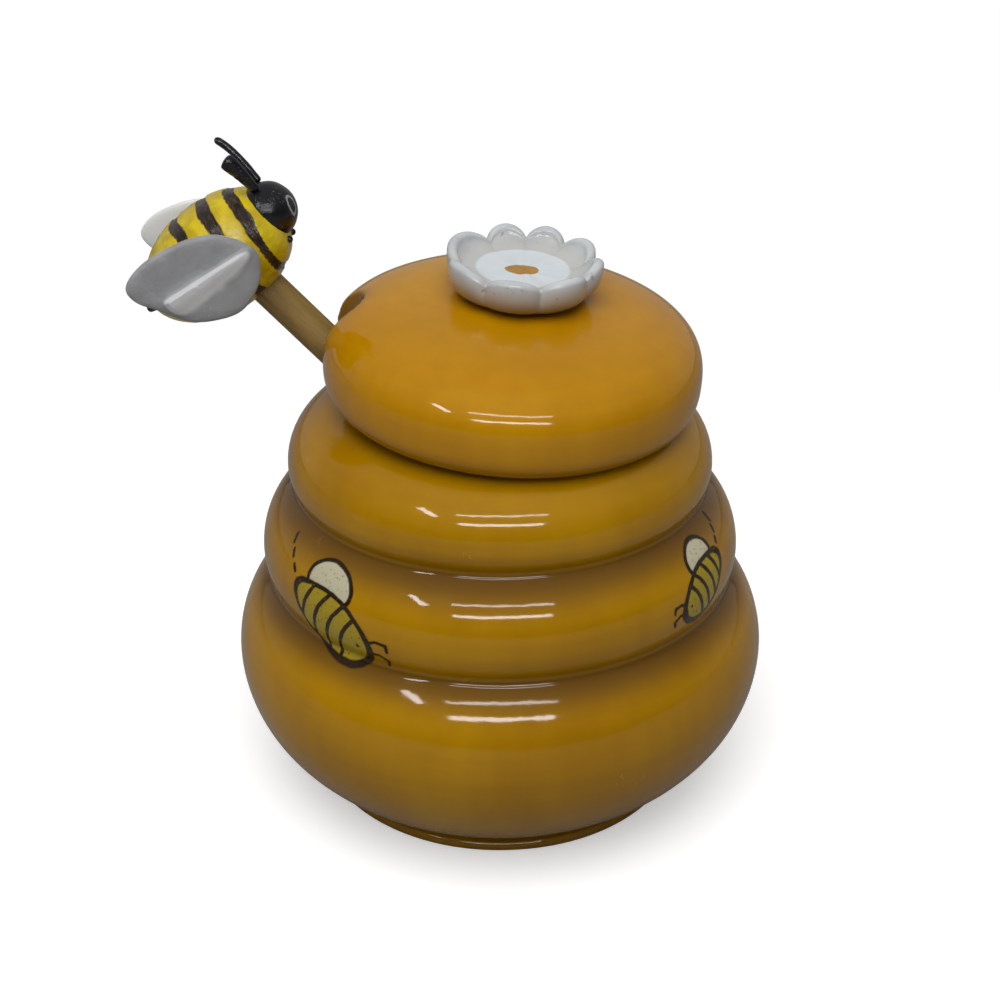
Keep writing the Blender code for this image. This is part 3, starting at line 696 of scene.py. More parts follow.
def makeLid(material):
    whole = turnedMesh("lid", lidProfile(), material, lid["steps"])
    tidyMesh(whole)
    obj = newObject("lid", whole)
    stick = stickInLid()
    face = Matrix.Rotation(math.atan2(stick.y, stick.x), 4, "Z")
    centre = math.hypot(stick.x, stick.y) + lid["notchOutset"]
    bm = bmesh.new()
    bore = lid["notchRadius"]
    bmesh.ops.create_cone(bm, cap_ends=True, segments=96, radius1=bore, radius2=bore, depth=40.0)
    notch = cutterObject("notchCutter", bm, face @ Matrix.Translation((centre, -lid["notchAside"], 8.0)))
    inner = lipRadius - lipRounding - lid["flangePlay"] - lid["flangeWall"] - 2.0
    bm = bmesh.new()
    bmesh.ops.create_cube(bm, size=1.0)
    bmesh.ops.scale(bm, vec=(centre - inner, 2 * lid["gapHalfWidth"], 15.5), verts=bm.verts)
    gap = cutterObject("gapCutter", bm, face @ Matrix.Translation(((centre + inner) / 2, 0.0, 1.25)))
    for cutter in (notch, gap):
        cut = obj.modifiers.new(cutter.name, "BOOLEAN")
        cut.operation = "DIFFERENCE"
        cut.solver = "EXACT"
        cut.object = cutter
    cells = obj.modifiers.new("cells", "REMESH")
    cells.mode = "VOXEL"
    cells.voxel_size = lid["cell"]
    relax = obj.modifiers.new("relax", "SMOOTH")
    relax.factor = 0.5
    relax.iterations = 5
    mesh = evaluated(obj)
    for cutter in (notch, gap):
        bpy.data.objects.remove(cutter, do_unlink=True)

    # Points of the crown away from the notch go back onto the exact dome
    middle = face @ Vector((centre, -lid["notchAside"], 0.0))
    radius, rise, power, widest = lipRadius + lid["overhang"], lid["rise"], lid["power"], lid["widest"]
    poolAndShade = []
    for vertex in mesh.vertices:
        x, y, z = vertex.co
        flat = math.hypot(x, y)
        away = math.hypot(x - middle.x, y - middle.y) - lid["notchRadius"]
        if z > widest + 0.2:
            level = (flat / radius) ** power + ((z - widest) / rise) ** power
            if level > 0.78:
                share = smoothStep(0.7, 2.4, away)
                pull = 1 + share * (level ** (-1 / power) - 1)
                vertex.co = (x * pull, y * pull, widest + (z - widest) * pull)
        bulge = lid["wobble"] * noise.noise(Vector((x, y, z)) * 0.06)
        if flat > 8.0 and z > widest + 0.2:
            vertex.co.z -= lid["wobble"] + bulge
        # Painted shade under the lid's edge and beside the notch, kept in the same values as pooled glaze
        underEdgePoolAndShade = smoothStep(widest + 1.0, -0.5, z)
        notchPoolAndShade = math.exp(-abs(away) / 1.0) * 0.55
        poolAndShade.append(max(0.75 * underEdgePoolAndShade ** 2, notchPoolAndShade))
    mesh.update()
    mesh.shade_smooth()
    keepValues(mesh, "poolAndShade", poolAndShade)
    return addPiece("glazedLid", mesh, lidFrame(), material, "lid", "ochre_glaze", "lid")


makeLid(ochreGlaze("lid"))
print("lid made")


# Daisy knob

daisy = dict(
    gaps=[10, 52, 87, 122, 185, 238, 283, 330], right=0.8, back=1.8,
    radius=16.0, height=8.6, base=10.4, floor=4.8, rim=2.3, notchDepth=2.2, notchDrop=2.7,
    columns=320, centre=(3.3, 2.3),
)


def petalShare(angle):
    # 1 along the middle of a petal and 0 at the notch between two petals
    gaps = [math.radians(g) for g in daisy["gaps"]]
    turn = (angle - gaps[0]) % tau
    steps = [(g - gaps[0]) % tau for g in gaps] + [tau]
    for low, high in zip(steps, steps[1:]):
        if low <= turn < high:
            return math.sin(math.pi * (turn - low) / (high - low)) ** 0.62
    return 0.0


def daisyProfile():
    # (radius, height, how far the petals' notches pull this point, and its share of the rim)
    rim, height, base, floor = daisy["radius"], daisy["height"], daisy["base"], daisy["floor"]
    thick = daisy["rim"]
    middle, crest = rim - thick / 2, height - thick / 2
    made = [(r, floor, 0.0) for r in (0.0, 2.0, 4.0, 6.0)]
    bend = blendPoints((6.0, floor), (middle - thick / 2 - 1.0, floor), (middle - thick / 2, crest), 14)
    made += [(r, z, smoothStep(5.0, middle, r) * 0.95) for r, z in bend]
    turns = [math.pi * i / 10 for i in range(11)]
    made += [(middle - thick / 2 * math.cos(t), crest + thick / 2 * math.sin(t), 1.0) for t in turns]
    outside = blendPoints((middle + thick / 2, crest), (rim + 0.1, 0.6), (base, 0.0), 18)
    made += [(r, z, 0.35 + 0.65 * smoothStep(0.5, crest, z)) for r, z in outside]
    made += [(base, 0.0, 0.3), (base - 1.0, 0.0, 0.2), (base / 2, 0.0, 0.0), (0.0, 0.0, 0.0)]
    return made


def makeDaisy(material):
    profile = daisyProfile()
    columns = daisy["columns"]
    petals = [petalShare(tau * j / columns) for j in range(columns)]

    def pointAt(i, j):
        radius, height, pull = profile[i]
        angle = tau * j / columns
        notch = 1 - petals[j]
        dip = notch * pull
        r = radius - daisy["notchDepth"] * dip * min(radius / daisy["radius"], 1.0) ** 2
        z = height - daisy["notchDrop"] * dip * max(height / daisy["height"], 0.0) ** 1.6
        if 5.0 < radius and height > daisy["floor"] - 0.1 and i < 30:
            z += 0.35 * notch * smoothStep(5.0, 10.0, radius) * (1 - smoothStep(12.0, 14.0, radius))
        uneven = 0.22 * noise.noise(Vector((math.cos(angle) * 2.0, math.sin(angle) * 2.0, 7.0)))
        z += (uneven - 0.22) * min(height / daisy["height"], 1.0)
        return r * math.cos(angle), r * math.sin(angle), max(z, 0.0)

    mesh = gridMesh("daisy", len(profile), columns, pointAt)
    tidyMesh(mesh, 0.01, dissolve=False)
    # Painted shade in the notches between the petals, towards the rim
    edges = []
    for vertex in mesh.vertices:
        flat = math.hypot(vertex.co.x, vertex.co.y)
        notch = 1 - petalShare(math.atan2(vertex.co.y, vertex.co.x))
        edges.append(notch ** 2 * smoothStep(8.0, 13.0, flat))
    keepLocal(mesh)
    keepValues(mesh, "crease", edges)
    crown = lid["widest"] + lid["rise"] + seatGap
    place = lidFrame() @ Matrix.Translation((daisy["right"], daisy["back"], crown))
    return addPiece("daisy", mesh, place, material, "lid", "white_glaze", "daisy_knob")


whiteTints = dict(
    # inside: painted light, the upturned inside of the bowl made lighter
    light=(0.60, 0.625, 0.635), grey=(0.50, 0.52, 0.535), inside=(0.71, 0.76, 0.79),
    # under: painted shade and a painted reflection of the ochre glaze low on the outside; crease: painted
    # shade in the petals' notches
    under=(0.25, 0.155, 0.050), crease=(0.42, 0.42, 0.40), worn=(0.24, 0.19, 0.13),
    speck=(0.05, 0.035, 0.02), centre=(0.46, 0.24, 0.02), centreDeep=(0.36, 0.15, 0.01),
)


def whiteGlaze():
    # White glaze, lighter inside the bowl as painted light and greyer outside, with painted shade in the
    # petals' notches, painted shade and a painted reflection of the ochre glaze low on the outside, worn
    # brown on sharp edges, with an ochre centre
    material, shade, shader = newMaterial("whiteGlaze")
    here = shade.here()
    x, y, z = shade.parts(shade.local())
    flat = shade.root(x, y)
    soft = shade.noise(here, 120.0, 3.0)
    colour = shade.mix(shade.band(soft, 0.35, 0.7), whiteTints["light"], whiteTints["grey"])
    # Painted light: the inside of the bowl is lighter
    inside = shade.times(shade.band(flat, 13.5, 10.0), shade.band(z, 3.9, 4.4))
    colour = shade.over(colour, inside, 0.8, whiteTints["inside"])
    # Painted shade and a painted reflection of the ochre glaze, brown low on the outside
    lower = shade.times(shade.band(z, 8.2, 0.4), shade.band(flat, 9.0, 9.8))
    colour = shade.over(colour, lower, 0.92, whiteTints["under"])
    # Painted shade in the notches between the petals
    colour = shade.over(colour, shade.kept("crease"), 0.25, whiteTints["crease"])
    worn = shade.times(shade.band(shade.noise(here, 700.0, 3.0), 0.66, 0.72), shade.band(flat, 11.0, 13.0))
    colour = shade.over(colour, worn, 0.55, whiteTints["worn"])
    dots = shade.group(specksGroup, Place=here, Spacing=7.0, Size=0.2, Share=0.3)
    colour = shade.over(colour, dots, 0.8, whiteTints["speck"])
    # The painted centre is a rough oval
    oval = shade.root(shade.maths("DIVIDE", shade.plus(x, 0.3), daisy["centre"][0]),
                      shade.maths("DIVIDE", shade.plus(y, 0.4), daisy["centre"][1]))
    oval = shade.plus(oval, shade.times(shade.minus(shade.noise(here, 380.0, 2.0), 0.5), 0.55))
    dab = shade.times(shade.band(oval, 1.04, 0.98), shade.band(z, 3.9, 4.3))
    ochre = shade.mix(shade.noise(here, 500.0), whiteTints["centre"], whiteTints["centreDeep"])
    shade.fill(shader, {
        "Base Color": shade.mix(dab, colour, ochre), "IOR": 1.5,
        "Roughness": shade.plus(0.10, shade.times(soft, 0.10)),
        "Coat Weight": 0.4, "Coat Roughness": 0.05,
        "Normal": shade.bump(shade.noise(here, 260.0, 2.0), 0.16, 0.0006),
    })
    return material


makeDaisy(whiteGlaze())
print("daisy made")


# Dipper

dipper = dict(
    head=26.0, headRadius=11.0, headEnd=7.0, core=4.8, discs=7, groove=1.5,
    shoulder=2.2, chamfer=0.45, steps=96,
)


def dipperProfile(total):
    top = -(total - dipper["head"])
    chamfer = dipper["chamfer"]
    made = [(0.0, 0.0), (stickRadius - chamfer, 0.0), (stickRadius - chamfer / 3, -chamfer / 3),
            (stickRadius, -chamfer)]
    made += [(stickRadius, -chamfer + (top + dipper["shoulder"] + chamfer) * k / 60) for k in range(1, 61)]
    pitch = (dipper["head"] + dipper["groove"]) / dipper["discs"]
    for i in range(dipper["discs"]):
        share = i / (dipper["discs"] - 1)
        swell = math.sin(math.pi * (0.15 + 0.85 * share))
        radius = dipper["headEnd"] + (dipper["headRadius"] - dipper["headEnd"]) * swell
        high = top - i * pitch
        low = high - pitch + dipper["groove"]
        if i:
            made.append((dipper["core"], high))
        made += [(radius - chamfer, high), (radius - chamfer / 4, high - chamfer),
                 (radius, (high + low) / 2), (radius - chamfer / 4, low + chamfer), (radius - chamfer, low)]
        if i < dipper["discs"] - 1:
            made.append((dipper["core"], low))
    return made + [(0.0, -total)]


woodTints = dict(
    light=(0.300, 0.188, 0.044), deep=(0.215, 0.125, 0.026), grain=(0.15, 0.082, 0.018),
    fleck=(0.50, 0.38, 0.19),
)


def paleWood():
    # Bare turned hardwood: fine lengthwise grain, soft figure and pale flecks
    material, shade, shader = newMaterial("paleWood")
    local = shade.local()
    figure = shade.drawn(local, (0.30, 0.30, 0.035), 3.0, 0.55, 1.2)
    grain = shade.drawn(local, (5.0, 5.0, 0.25), 4.0, 0.7)
    pores = shade.drawn(local, (9.0, 9.0, 0.9), 2.0, 0.6)
    colour = shade.mix(shade.band(figure, 0.3, 0.7), woodTints["light"], woodTints["deep"])
    colour = shade.over(colour, shade.band(grain, 0.50, 0.68), 0.55, woodTints["grain"])
    fleck = shade.times(shade.band(pores, 0.60, 0.66), shade.band(shade.noise(local, 0.12, 1.0), 0.42, 0.6))
    height = shade.minus(grain, shade.times(fleck, 0.5))
    shade.fill(shader, {
        "Base Color": shade.over(colour, fleck, 0.5, woodTints["fleck"]),
        "Roughness": shade.plus(0.50, shade.times(grain, 0.2)),
        "Normal": shade.bump(height, 0.35, 0.0003),
    })
    return material


def makeDipper(material):
    low = Vector(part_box("dipper")[0]) * 1000
    drop = dipperFrame().translation.z - low.z - dipper["headEnd"] * math.sin(stickLean)
    total = drop / math.cos(stickLean)
    mesh = turnedMesh("dipper", dipperProfile(total), material, dipper["steps"], 0.06, 0.15, 1.0)
    tidyMesh(mesh, sharp=50)
    keepLocal(mesh)
    return addPiece("woodenDipper", mesh, dipperFrame(), material, "dipper", "pale_wood", "dipper")


makeDipper(paleWood())
print("dipper made")


# Bee, in the dipper's frame: X towards its head, Z towards its back, the viewer's side at -Y

bee = dict(
    halfLength=16.4, halfHeight=11.2, halfWidth=11.8, seat=2.0, behind=3.2,
    blunt=2.5, tail=1.9, pitch=math.radians(6.0),
    headRadius=5.9, headSunk=1.7, headDrop=0.5, rows=150, columns=180,
    stripes=[2.3, 2.5, 2.2],
    sting=(2.2, 1.9, 4.0), bud=(0.7, 1.4, 22.0),
)
beeCentre = Vector((-bee["behind"], 0.0, bee["halfHeight"] - bee["seat"]))
headCentre = beeCentre + Vector((bee["halfLength"] - bee["headSunk"], 0.0, -bee["headDrop"]))
eggPlace = Matrix.Translation(beeCentre) @ Matrix.Rotation(bee["pitch"], 4, "Y")


def beeGirth(forward):
    power = bee["blunt"] if forward > 0 else bee["tail"]
    return max(1 - abs(forward) ** power, 0.0) ** (1 / power)


def stripeLine(index, turn):
    # Where a stripe's middle crosses the body, along its length, at an angle from its back
    turn = abs(turn)
    if index == 0:
        return -1.0 + 1.1 * smoothStep(0.2, 0.9, turn) - 2.2 * smoothStep(1.2, 3.0, turn)
    if index == 1:
        return 5.3 + 1.4 * math.sin(min(turn * 1.5, math.pi)) - 0.9 * smoothStep(1.1, 2.6, turn)
    return 11.3 + 1.1 * math.sin(min(turn * 1.2, math.pi)) - 0.7 * smoothStep(1.2, 2.2, turn)


def stripeShare(forward, turn):
    # 1 in the middle of a dark stripe and 0 outside it; ragged like brushwork
    best = 0.0
    for i, wide in enumerate(bee["stripes"]):
        ragged = 0.45 * noise.noise(Vector((turn * 2.2, i * 5.0, forward * 0.3)))
        taper = 1.0 if i < 2 else 1 - 0.35 * smoothStep(0.8, 2.0, abs(turn))
        reach = abs(forward - stripeLine(i, turn) + ragged) / (wide / 2 * taper)
        best = max(best, smoothStep(1.12, 0.92, reach))
    return best


def makeBeeBody(material):
    rows, columns = bee["rows"], bee["columns"]

    def pointAt(i, j):
        forward = -math.cos(math.pi * i / (rows - 1))
        girth = beeGirth(forward)
        turn = tau * j / columns
        groove = stripeShare(forward * bee["halfLength"], math.atan2(math.sin(turn), math.cos(turn)))
        fade = smoothStep(0.0, 0.35, girth)
        rough = 0.10 * noise.noise(Vector((forward * 9, math.sin(turn) * 5, math.cos(turn) * 5)))
        inward = (0.26 * groove + 0.10 + rough) * fade
        return (forward * (bee["halfLength"] - 0.1), -math.sin(turn) * (girth * bee["halfWidth"] - inward),
                math.cos(turn) * (girth * bee["halfHeight"] - inward))

    mesh = gridMesh("beeBody", rows, columns, pointAt)
    tidyMesh(mesh, 0.01)
    keepLocal(mesh)
    stripes = []
    for vertex in mesh.vertices:
        x, y, z = vertex.co
        stripes.append(stripeShare(x, math.atan2(-y, z)))
    keepValues(mesh, "stripe", stripes)
    place = dipperFrame() @ eggPlace
    return addPiece("beeBody", mesh, place, material, "dipper", "yellow_paint", "bee_body")


def makeBeeHead(material):
    rows, columns = 90, 120

    def pointAt(i, j):
        along = math.pi * i / (rows - 1)
        turn = tau * j / columns
        x, ring = -math.cos(along), math.sin(along)
        push = Vector((x, ring * math.sin(turn), ring * math.cos(turn)))
        lumps = 1 - 0.012 - 0.012 * noise.noise(push * 2.2)
        return tuple(push * bee["headRadius"] * lumps)

    mesh = gridMesh("beeHead", rows, columns, pointAt)
    tidyMesh(mesh, 0.01)
    keepLocal(mesh)
    return addPiece("beeHead", mesh, dipperFrame() @ Matrix.Translation(headCentre), material,
                    "dipper", "black_paint", "bee_head")


wing = dict(
    length=25.1, width=17.2, thickness=1.5, pitch=math.radians(15.7), splay=math.radians(15.6),
    roots={"right": (5.5, -2.3, 0.4), "left": (9.5, 0.1, 0.0)}, ridge=0.80,
    outline=[(0.00, 0.00), (0.18, 0.33), (0.44, 0.47), (0.76, 0.48), (0.97, 0.36), (0.98, 0.16),
             (0.85, -0.09), (0.73, -0.31), (0.59, -0.45), (0.36, -0.54), (0.18, -0.45), (0.05, -0.27)],
)


def wingFrame(side, hand):
    setback, rise, standOff = wing["roots"][hand]
    root = Vector((bee["halfLength"] - setback, 0.0, rise))
    inside = Matrix.Rotation(-bee["pitch"], 3, "Y") @ root
    girth = beeGirth(inside.x / bee["halfLength"])
    flank = math.sqrt(max(girth ** 2 - (inside.z / bee["halfHeight"]) ** 2, 0.0)) * bee["halfWidth"]
    root.y = side * (flank + seatGap + wing["thickness"] / 2 + standOff)
    pitch, splay = wing["pitch"], wing["splay"]
    along = Vector((-math.cos(pitch), 0.0, math.sin(pitch))) * math.cos(splay)
    along += Vector((0.0, side * math.sin(splay), 0.0))
    across = Vector((math.sin(pitch), 0.0, math.cos(pitch)))
    turn = Matrix((along, across, along.cross(across))).transposed().to_4x4()
    return Matrix.Translation(beeCentre + root) @ turn


def closedSpline(points, count):
    # A smooth closed line through the points
    made, total = [], len(points)
    for i in range(total):
        a, b, c, d = (Vector(points[(i + k) % total]) for k in (-1, 0, 1, 2))
        for k in range(count):
            t = k / count
            square, cube = 2 * a - 5 * b + 4 * c - d, 3 * b - a - 3 * c + d
            made.append(0.5 * (2 * b + (c - a) * t + square * t * t + cube * t ** 3))
    return made


def makeWing(name, side, hand, material, node):
    # A thick leaf with a rounded edge, slightly dished, with a raised rib on its outer face
    outline = closedSpline(wing["outline"], 24)
    columns = len(outline)
    hub = Vector((0.52, 0.0))
    rings = [0.04 * i for i in range(23)] + [0.91, 0.94, 0.965, 0.985, 0.996, 1.0]

    def edgeLift(share):
        return math.sqrt(max(1 - share ** 9, 0.0))

    def pointAt(i, j):
        top = i < len(rings)
        share = rings[i] if top else rings[2 * len(rings) - 2 - i]
        spot = hub + (outline[j] - hub) * share
        x, y = spot.x * wing["length"], spot.y * wing["width"]
        half = wing["thickness"] / 2 * edgeLift(share)
        face = 1 if top else -1
        z = face * half
        if top:
            # A fold: steep towards the back edge, easing off towards the front edge
            aside = y - (0.25 - 0.035 * x)
            far = wing["length"] * wing["ridge"]
            along = smoothStep(-1.0, 1.2, x) * (1 - smoothStep(far - 1.2, far + 0.6, x))
            spread = 0.55 if aside > 0 else 1.5 + 0.10 * x
            fall = math.exp(-(aside / spread) ** 2)
            z += along * (0.55 + 0.035 * x) * fall * (1 - share ** 8)
            z -= 0.22 * (1 - share ** 2) * smoothStep(0.2, 2.5, aside)
            z += 0.05 * noise.noise(Vector((x * 0.6, y * 0.6, 3.0)))
        return x, y, z * side

    mesh = gridMesh(name, 2 * len(rings) - 1, columns, pointAt)
    tidyMesh(mesh, 0.01)
    keepLocal(mesh)
    # 1 on the inner face, which is painted light; the outer face is painted shade
    keepValues(mesh, "inner", [smoothStep(0.1, -0.1, vertex.co.z * side) for vertex in mesh.vertices])
    place = dipperFrame() @ wingFrame(side, hand)
    return addPiece(name, mesh, place, material, "dipper", "white_paint", node)


antenna = dict(
    lengths={"left": 11.8, "right": 8.4}, root=0.8, tips={"left": 0.8, "right": 1.4},
    leans={"left": math.radians(-6.0), "right": math.radians(3.0)},
    spread=math.radians(30.0), forward=math.radians(24.0),
)


def makeAntenna(name, side, hand, material, node):
    forward, spread = antenna["forward"], side * math.sin(antenna["spread"])
    direction = Vector((math.sin(forward), spread, math.cos(forward))).normalized()
    root = headCentre + direction * (bee["headRadius"] + seatGap)
    lean, length, tip = antenna["leans"][hand], antenna["lengths"][hand], antenna["tips"][hand]
    sweep = Vector((math.sin(lean), spread / 2, math.cos(lean))).normalized()
    rows, columns = 48, 32
    flat, broad = 0.9, 1.2 if hand == "right" else 1.0

    def centreAt(share):
        sunk = direction * (seatGap + 0.1) * (1 - share)
        return root - sunk + direction * length * share * (1 - share) / 2 + sweep * length * share

    def pointAt(i, j):
        share = i / (rows - 1)
        swell = antenna["root"] + (tip - antenna["root"]) * min(share * 1.4, 1.0)
        # Both ends are rounded off
        cap = math.sqrt(max(1 - max((share - 0.86) / 0.14, 0.0) ** 2, 0.0))
        cap *= math.sqrt(min(share / 0.03, 1.0))
        ahead = (centreAt(min(share + 0.02, 1.0)) - centreAt(max(share - 0.02, 0.0))).normalized()
        wide = Vector((0.0, 1.0, 0.0)).cross(ahead).normalized()
        deep = ahead.cross(wide).normalized()
        turn = tau * j / columns
        lump = 1 + 0.06 * noise.noise(Vector((share * 9.0, math.cos(turn), math.sin(turn))))
        size = swell * cap * lump * 0.97
        edge = wide * math.cos(turn) * broad + deep * math.sin(turn) * flat
        return tuple(centreAt(share) + edge * size)

    mesh = gridMesh(name, rows, columns, pointAt)
    tidyMesh(mesh, 0.005)
    keepLocal(mesh)
    return addPiece(name, mesh, dipperFrame(), material, "dipper", "black_paint", node)


def makeBuds(material):
    # The sting and the two small feet under the chin, moulded with the body
    sunk, thick, length = bee["sting"]
    radius, setback, spread = bee["bud"]
    forward = bee["halfLength"] - setback
    joined = bmesh.new()
    back = Matrix.Translation((sunk - bee["halfLength"] - length / 2, 0.0, 0.0))
    back = eggPlace @ back @ Matrix.Rotation(-quarter, 4, "Y")
    bmesh.ops.create_cone(joined, cap_ends=True, segments=40, radius1=thick, radius2=thick / 3,
                          depth=length, matrix=back)
    edges = [e for e in joined.edges if len(e.link_faces) == 2 and e.calc_face_angle(0) > 0.8]
    bmesh.ops.bevel(joined, geom=edges, offset=0.35, segments=4, affect="EDGES", profile=0.5)
    girth = beeGirth(forward / bee["halfLength"])
    for side in (-1, 1):
        spot = eggPlace @ Vector((forward, side * girth * bee["halfWidth"] * math.sin(math.radians(spread)),
                                  -girth * bee["halfHeight"] * math.cos(math.radians(spread))))
        bmesh.ops.create_uvsphere(joined, u_segments=28, v_segments=18, radius=radius,
                                  matrix=Matrix.Translation(spot))
    mesh = closed(joined, bpy.data.meshes.new("beeBuds"))
    keepLocal(mesh)
    return addPiece("beeBuds", mesh, dipperFrame(), material, "dipper", "black_paint")


paints = dict(
    yellow=(0.70, 0.53, 0.003), amber=(0.52, 0.375, 0.002), dirt=(0.20, 0.11, 0.012),
    stripe=(0.014, 0.009, 0.006), stripeThin=(0.06, 0.036, 0.018), stripeEdge=(0.17, 0.09, 0.012),
    black=(0.006, 0.006, 0.008), rubbed=(0.30, 0.30, 0.30), eye=(0.50, 0.50, 0.49),
    # The wings' outer faces are a dark grey as painted shade, their inner faces near white as painted light
    wing=(0.285, 0.29, 0.30), wingShadeDeep=(0.240, 0.243, 0.247), wingInnerLit=(0.86, 0.87, 0.86),
    # The rib's near-white is a painted highlight
    wingScratch=(0.74, 0.75, 0.76), wingChip=(0.035, 0.035, 0.04), wingRibHighlight=(0.80, 0.81, 0.82),
)


def yellowPaint():
    # Glossy yellow resin with dark brown brushed stripes that sit in shallow grooves
    material, shade, shader = newMaterial("yellowPaint")
    local, stripe = shade.local(), shade.kept("stripe")
    broad = shade.noise(local, 0.22, 3.0, 0.5, 0.5)
    yellow = shade.mix(shade.band(broad, 0.35, 0.68), paints["yellow"], paints["amber"])
    dirt = shade.band(shade.noise(local, 1.1, 4.0, 0.6), 0.60, 0.75)
    yellow = shade.over(yellow, dirt, 0.25, paints["dirt"])
    brush = shade.drawn(local, (2.4, 0.5, 0.5), 3.0, 0.7)
    dark = shade.mix(shade.band(brush, 0.45, 0.68), paints["stripe"], paints["stripeThin"])
    edge = shade.times(shade.band(stripe, 0.02, 0.4), shade.band(stripe, 0.98, 0.5))
    colour = shade.mix(shade.band(stripe, 0.30, 0.55), yellow, dark)
    height = shade.plus(shade.noise(local, 1.4, 3.0), shade.times(shade.times(brush, stripe), 0.8))
    shade.fill(shader, {
        "Base Color": shade.over(colour, edge, 0.45, paints["stripeEdge"]),
        "Roughness": shade.plus(0.16, shade.times(brush, 0.14)),
        "Coat Weight": 0.25, "Coat Roughness": 0.12,
        "Normal": shade.bump(height, 0.40, 0.00035),
    })
    return material


def blackPaint(name, eyes):
    # Glossy black resin with pale rubbed scratches; the head also has its painted eyes
    material, shade, shader = newMaterial(name)
    local = shade.local()
    lines = shade.drawn(local, (3.0, 3.0, 0.9), 3.0, 0.7)
    patches = shade.band(shade.noise(local, 0.35, 1.0), 0.45, 0.6)
    rubbed = shade.times(shade.band(lines, 0.60, 0.68), patches)
    colour = shade.over(paints["black"], rubbed, 0.45, paints["rubbed"])
    if eyes:
        # An open white ring on each cheek
        x, y, z = shade.parts(local)
        cheek = shade.join(x, shade.maths("ABSOLUTE", y), z)
        toEye = shade.vector("SUBTRACT", cheek, (4.97, 2.0, -2.0))
        _, across, up = shade.parts(toEye)
        ring = shade.root(shade.times(up, 0.62), across)
        ring = shade.plus(ring, shade.times(shade.minus(shade.noise(local, 1.2), 0.5), 0.35))
        drawn = shade.band(shade.maths("ABSOLUTE", shade.minus(ring, 1.05)), 0.24, 0.12)
        near = shade.band(shade.vector("LENGTH", toEye), 3.2, 2.8)
        colour = shade.over(colour, shade.times(drawn, near), 0.6, paints["eye"])
    shade.fill(shader, {
        "Base Color": colour, "Roughness": shade.plus(0.20, shade.times(rubbed, 0.3)),
        "Normal": shade.bump(shade.noise(local, 1.6, 3.0), 0.25, 0.0003),
    })
    return material


def whitePaint():
    # Chalky blue-white paint on the wings, scratched and chipped; the outer faces are a dark grey as
    # painted shade and the inner faces near white as painted light, with a painted highlight along the rib
    material, shade, shader = newMaterial("whitePaint")
    local = shade.local()
    broad = shade.noise(local, 0.18, 3.0)
    # The outer faces' dark grey is painted shade
    colour = shade.mix(shade.band(broad, 0.3, 0.7), paints["wing"], paints["wingShadeDeep"])
    # Painted light: the inner faces are near white
    colour = shade.mix(shade.kept("inner"), colour, paints["wingInnerLit"])
    hair = shade.group(scratchesGroup, Place=shade.here(), Density=0.95)
    colour = shade.over(colour, hair, 0.75, paints["wingScratch"])
    patches = shade.noise(shade.vector("ADD", local, (9.0, 4.0, 2.0)), 0.2, 1.0)
    chips = shade.band(shade.noise(local, 1.5, 4.0, 0.65), 0.66, 0.70)
    chips = shade.times(chips, shade.band(patches, 0.5, 0.6))
    colour = shade.over(colour, chips, 0.7, paints["wingChip"])
    # Painted highlight along the raised rib
    ridge = shade.band(shade.maths("ABSOLUTE", shade.parts(local)[2]), 0.78, 1.1)
    height = shade.minus(shade.noise(local, 1.2, 3.0), shade.times(chips, 0.8))
    shade.fill(shader, {
        "Base Color": shade.over(colour, ridge, 0.6, paints["wingRibHighlight"]),
        "Roughness": shade.plus(0.38, shade.times(broad, 0.2)),
        "Coat Weight": 0.15, "Coat Roughness": 0.25,
        "Normal": shade.bump(height, 0.30, 0.0003),
    })
    return material


makeBeeBody(yellowPaint())
makeBeeHead(blackPaint("blackHead", True))
plainBlack = blackPaint("blackPaint", False)
wingPaint = whitePaint()
makeWing("beeWingRight", -1, "right", wingPaint, "bee_wing_right")
makeWing("beeWingLeft", 1, "left", wingPaint, "bee_wing_left")
makeAntenna("beeAntennaRight", -1, "right", plainBlack, "bee_antenna_right")
makeAntenna("beeAntennaLeft", 1, "left", plainBlack, "bee_antenna_left")
makeBuds(plainBlack)
print("bee made")


# Stage: camera, floor, white surroundings and soft strip lights

view = dict(
    focal=1577.2, pixels=1000.0, eye=(0.0, -0.30106, 0.21865), down=math.radians(27.47),
)


def placeCamera():
    data = bpy.data.cameras.new("camera")
    data.sensor_width = 36.0
    data.lens = data.sensor_width * view["focal"] / view["pixels"]
    data.clip_start = 0.01
    obj = newObject("camera", data)
    obj.location = view["eye"]
    obj.rotation_euler = (quarter - view["down"], 0.0, 0.0)
    bpy.context.scene.camera = obj
    return obj


def areaLight(name, place, target, size, power, mirrored=True, diffuse=True, turn=0.0):
    data = bpy.data.lights.new(name, "AREA")
    data.shape = "RECTANGLE"
    data.size, data.size_y = size
    data.energy = power
    obj = newObject(name, data)
    obj.location = place
    facing = (Vector(target) - Vector(place)).to_track_quat("-Z", "Y")
    obj.rotation_euler = (facing @ Quaternion((0.0, 0.0, 1.0), math.radians(turn))).to_euler()
    obj.visible_glossy, obj.visible_diffuse = mirrored, diffuse
    return obj


def around(azimuth, elevation, distance, height=0.06):
    # A place round the pot: azimuth 0 is in front, and 90 on the right
    a, e = math.radians(azimuth), math.radians(elevation)
    flat = distance * math.cos(e)
    return flat * math.sin(a), -flat * math.cos(a), height + distance * math.sin(e)


def cameraSees(shade):
    # The light path's outputs, and 1 for rays that come straight from the camera
    path = shade.node("ShaderNodeLightPath", {})
    return path, shade.maths("MAXIMUM", path["Is Camera Ray"], path["Is Transmission Ray"])


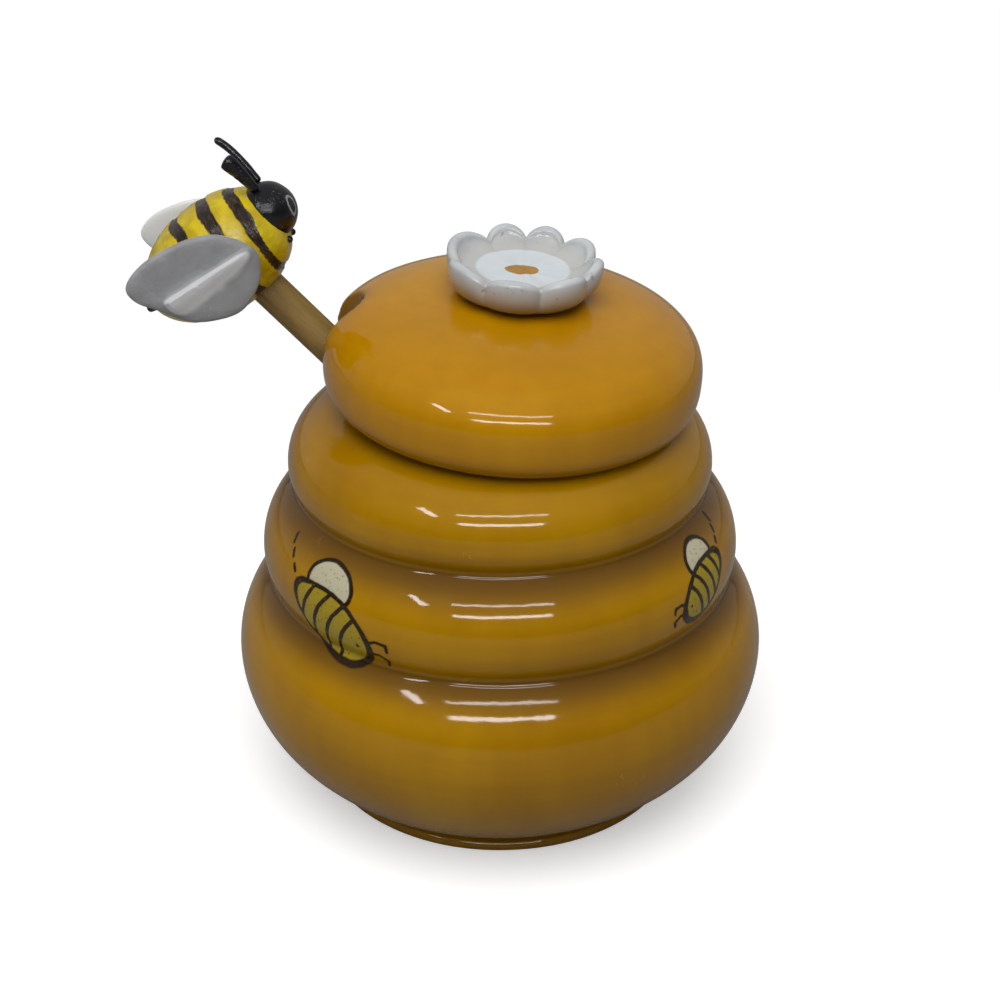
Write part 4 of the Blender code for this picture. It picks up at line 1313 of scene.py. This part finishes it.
def whiteWorld():
    world = bpy.data.worlds.new("surroundings")
    bpy.context.scene.world = world
    world.use_nodes = True
    world.node_tree.nodes.clear()
    shade = Shade(world.node_tree)
    path, seen = cameraSees(shade)
    ways = shade.parts(shade.node("ShaderNodeTexCoord", {})["Generated"])
    # Reflections see a dim room in front that brightens overhead and behind the pot
    up, behind = shade.band(ways[2], -0.1, 0.9), shade.band(ways[1], -0.5, 0.6)
    room = shade.plus(0.04, shade.times(shade.maths("MAXIMUM", up, behind), 0.30))
    lit = shade.mix(path["Is Glossy Ray"], (0.23, 0.23, 0.23), shade.join(room, room, room))
    sky = {"Color": shade.mix(seen, lit, (1.0, 1.0, 1.0)), "Strength": 1.0}
    shade.node("ShaderNodeOutputWorld", {0: shade.node("ShaderNodeBackground", sky)[0]})


def makeFloor():
    bm = bmesh.new()
    bmesh.ops.create_grid(bm, x_segments=8, y_segments=8, size=3.0)
    mesh = closed(bm, bpy.data.meshes.new("floor"))
    material, shade, shader = newMaterial("floor")
    # The camera sees a white floor; it returns less light to the pot
    _, seen = cameraSees(shade)
    away = shade.band(shade.vector("LENGTH", shade.here()), 0.06, 0.30)
    near = shade.mix(away, (0.90, 0.90, 0.90), (0.0, 0.0, 0.0))
    shade.fill(shader, {
        "Base Color": shade.mix(seen, (0.30, 0.30, 0.30), near),
        "Emission Color": (1.0, 1.0, 1.0),
        "Emission Strength": shade.times(seen, shade.plus(0.40, shade.times(away, 0.60))),
        "Roughness": 0.9, "Specular IOR Level": 0.1,
    })
    mesh.materials.append(material)
    obj = newObject("floor", mesh)
    obj.location = (0.0, 0.0, -0.0002)
    return obj


placeCamera()
makeFloor()
areaLight("stripFront", around(1, 27, 1.1), (0, 0, 0.06), (0.80, 0.075), 3.0, diffuse=False)
areaLight("stripHigh", around(1, 43, 1.1), (0, 0, 0.06), (0.80, 0.05), 1.6, diffuse=False)
areaLight("stripLeft", around(-42, 37, 1.1), (0, 0, 0.06), (0.26, 0.07), 0.9, diffuse=False, turn=-40)
areaLight("overhead", around(-10, 60, 1.25), (0, 0, 0.05), (1.2, 1.2), 14.6, mirrored=False)
areaLight("behind", around(165, 30, 1.3), (0, 0, 0.05), (1.0, 1.0), 3.0, mirrored=False)
whiteWorld()
bpy.context.scene.view_settings.view_transform = "Standard"
print("stage set")
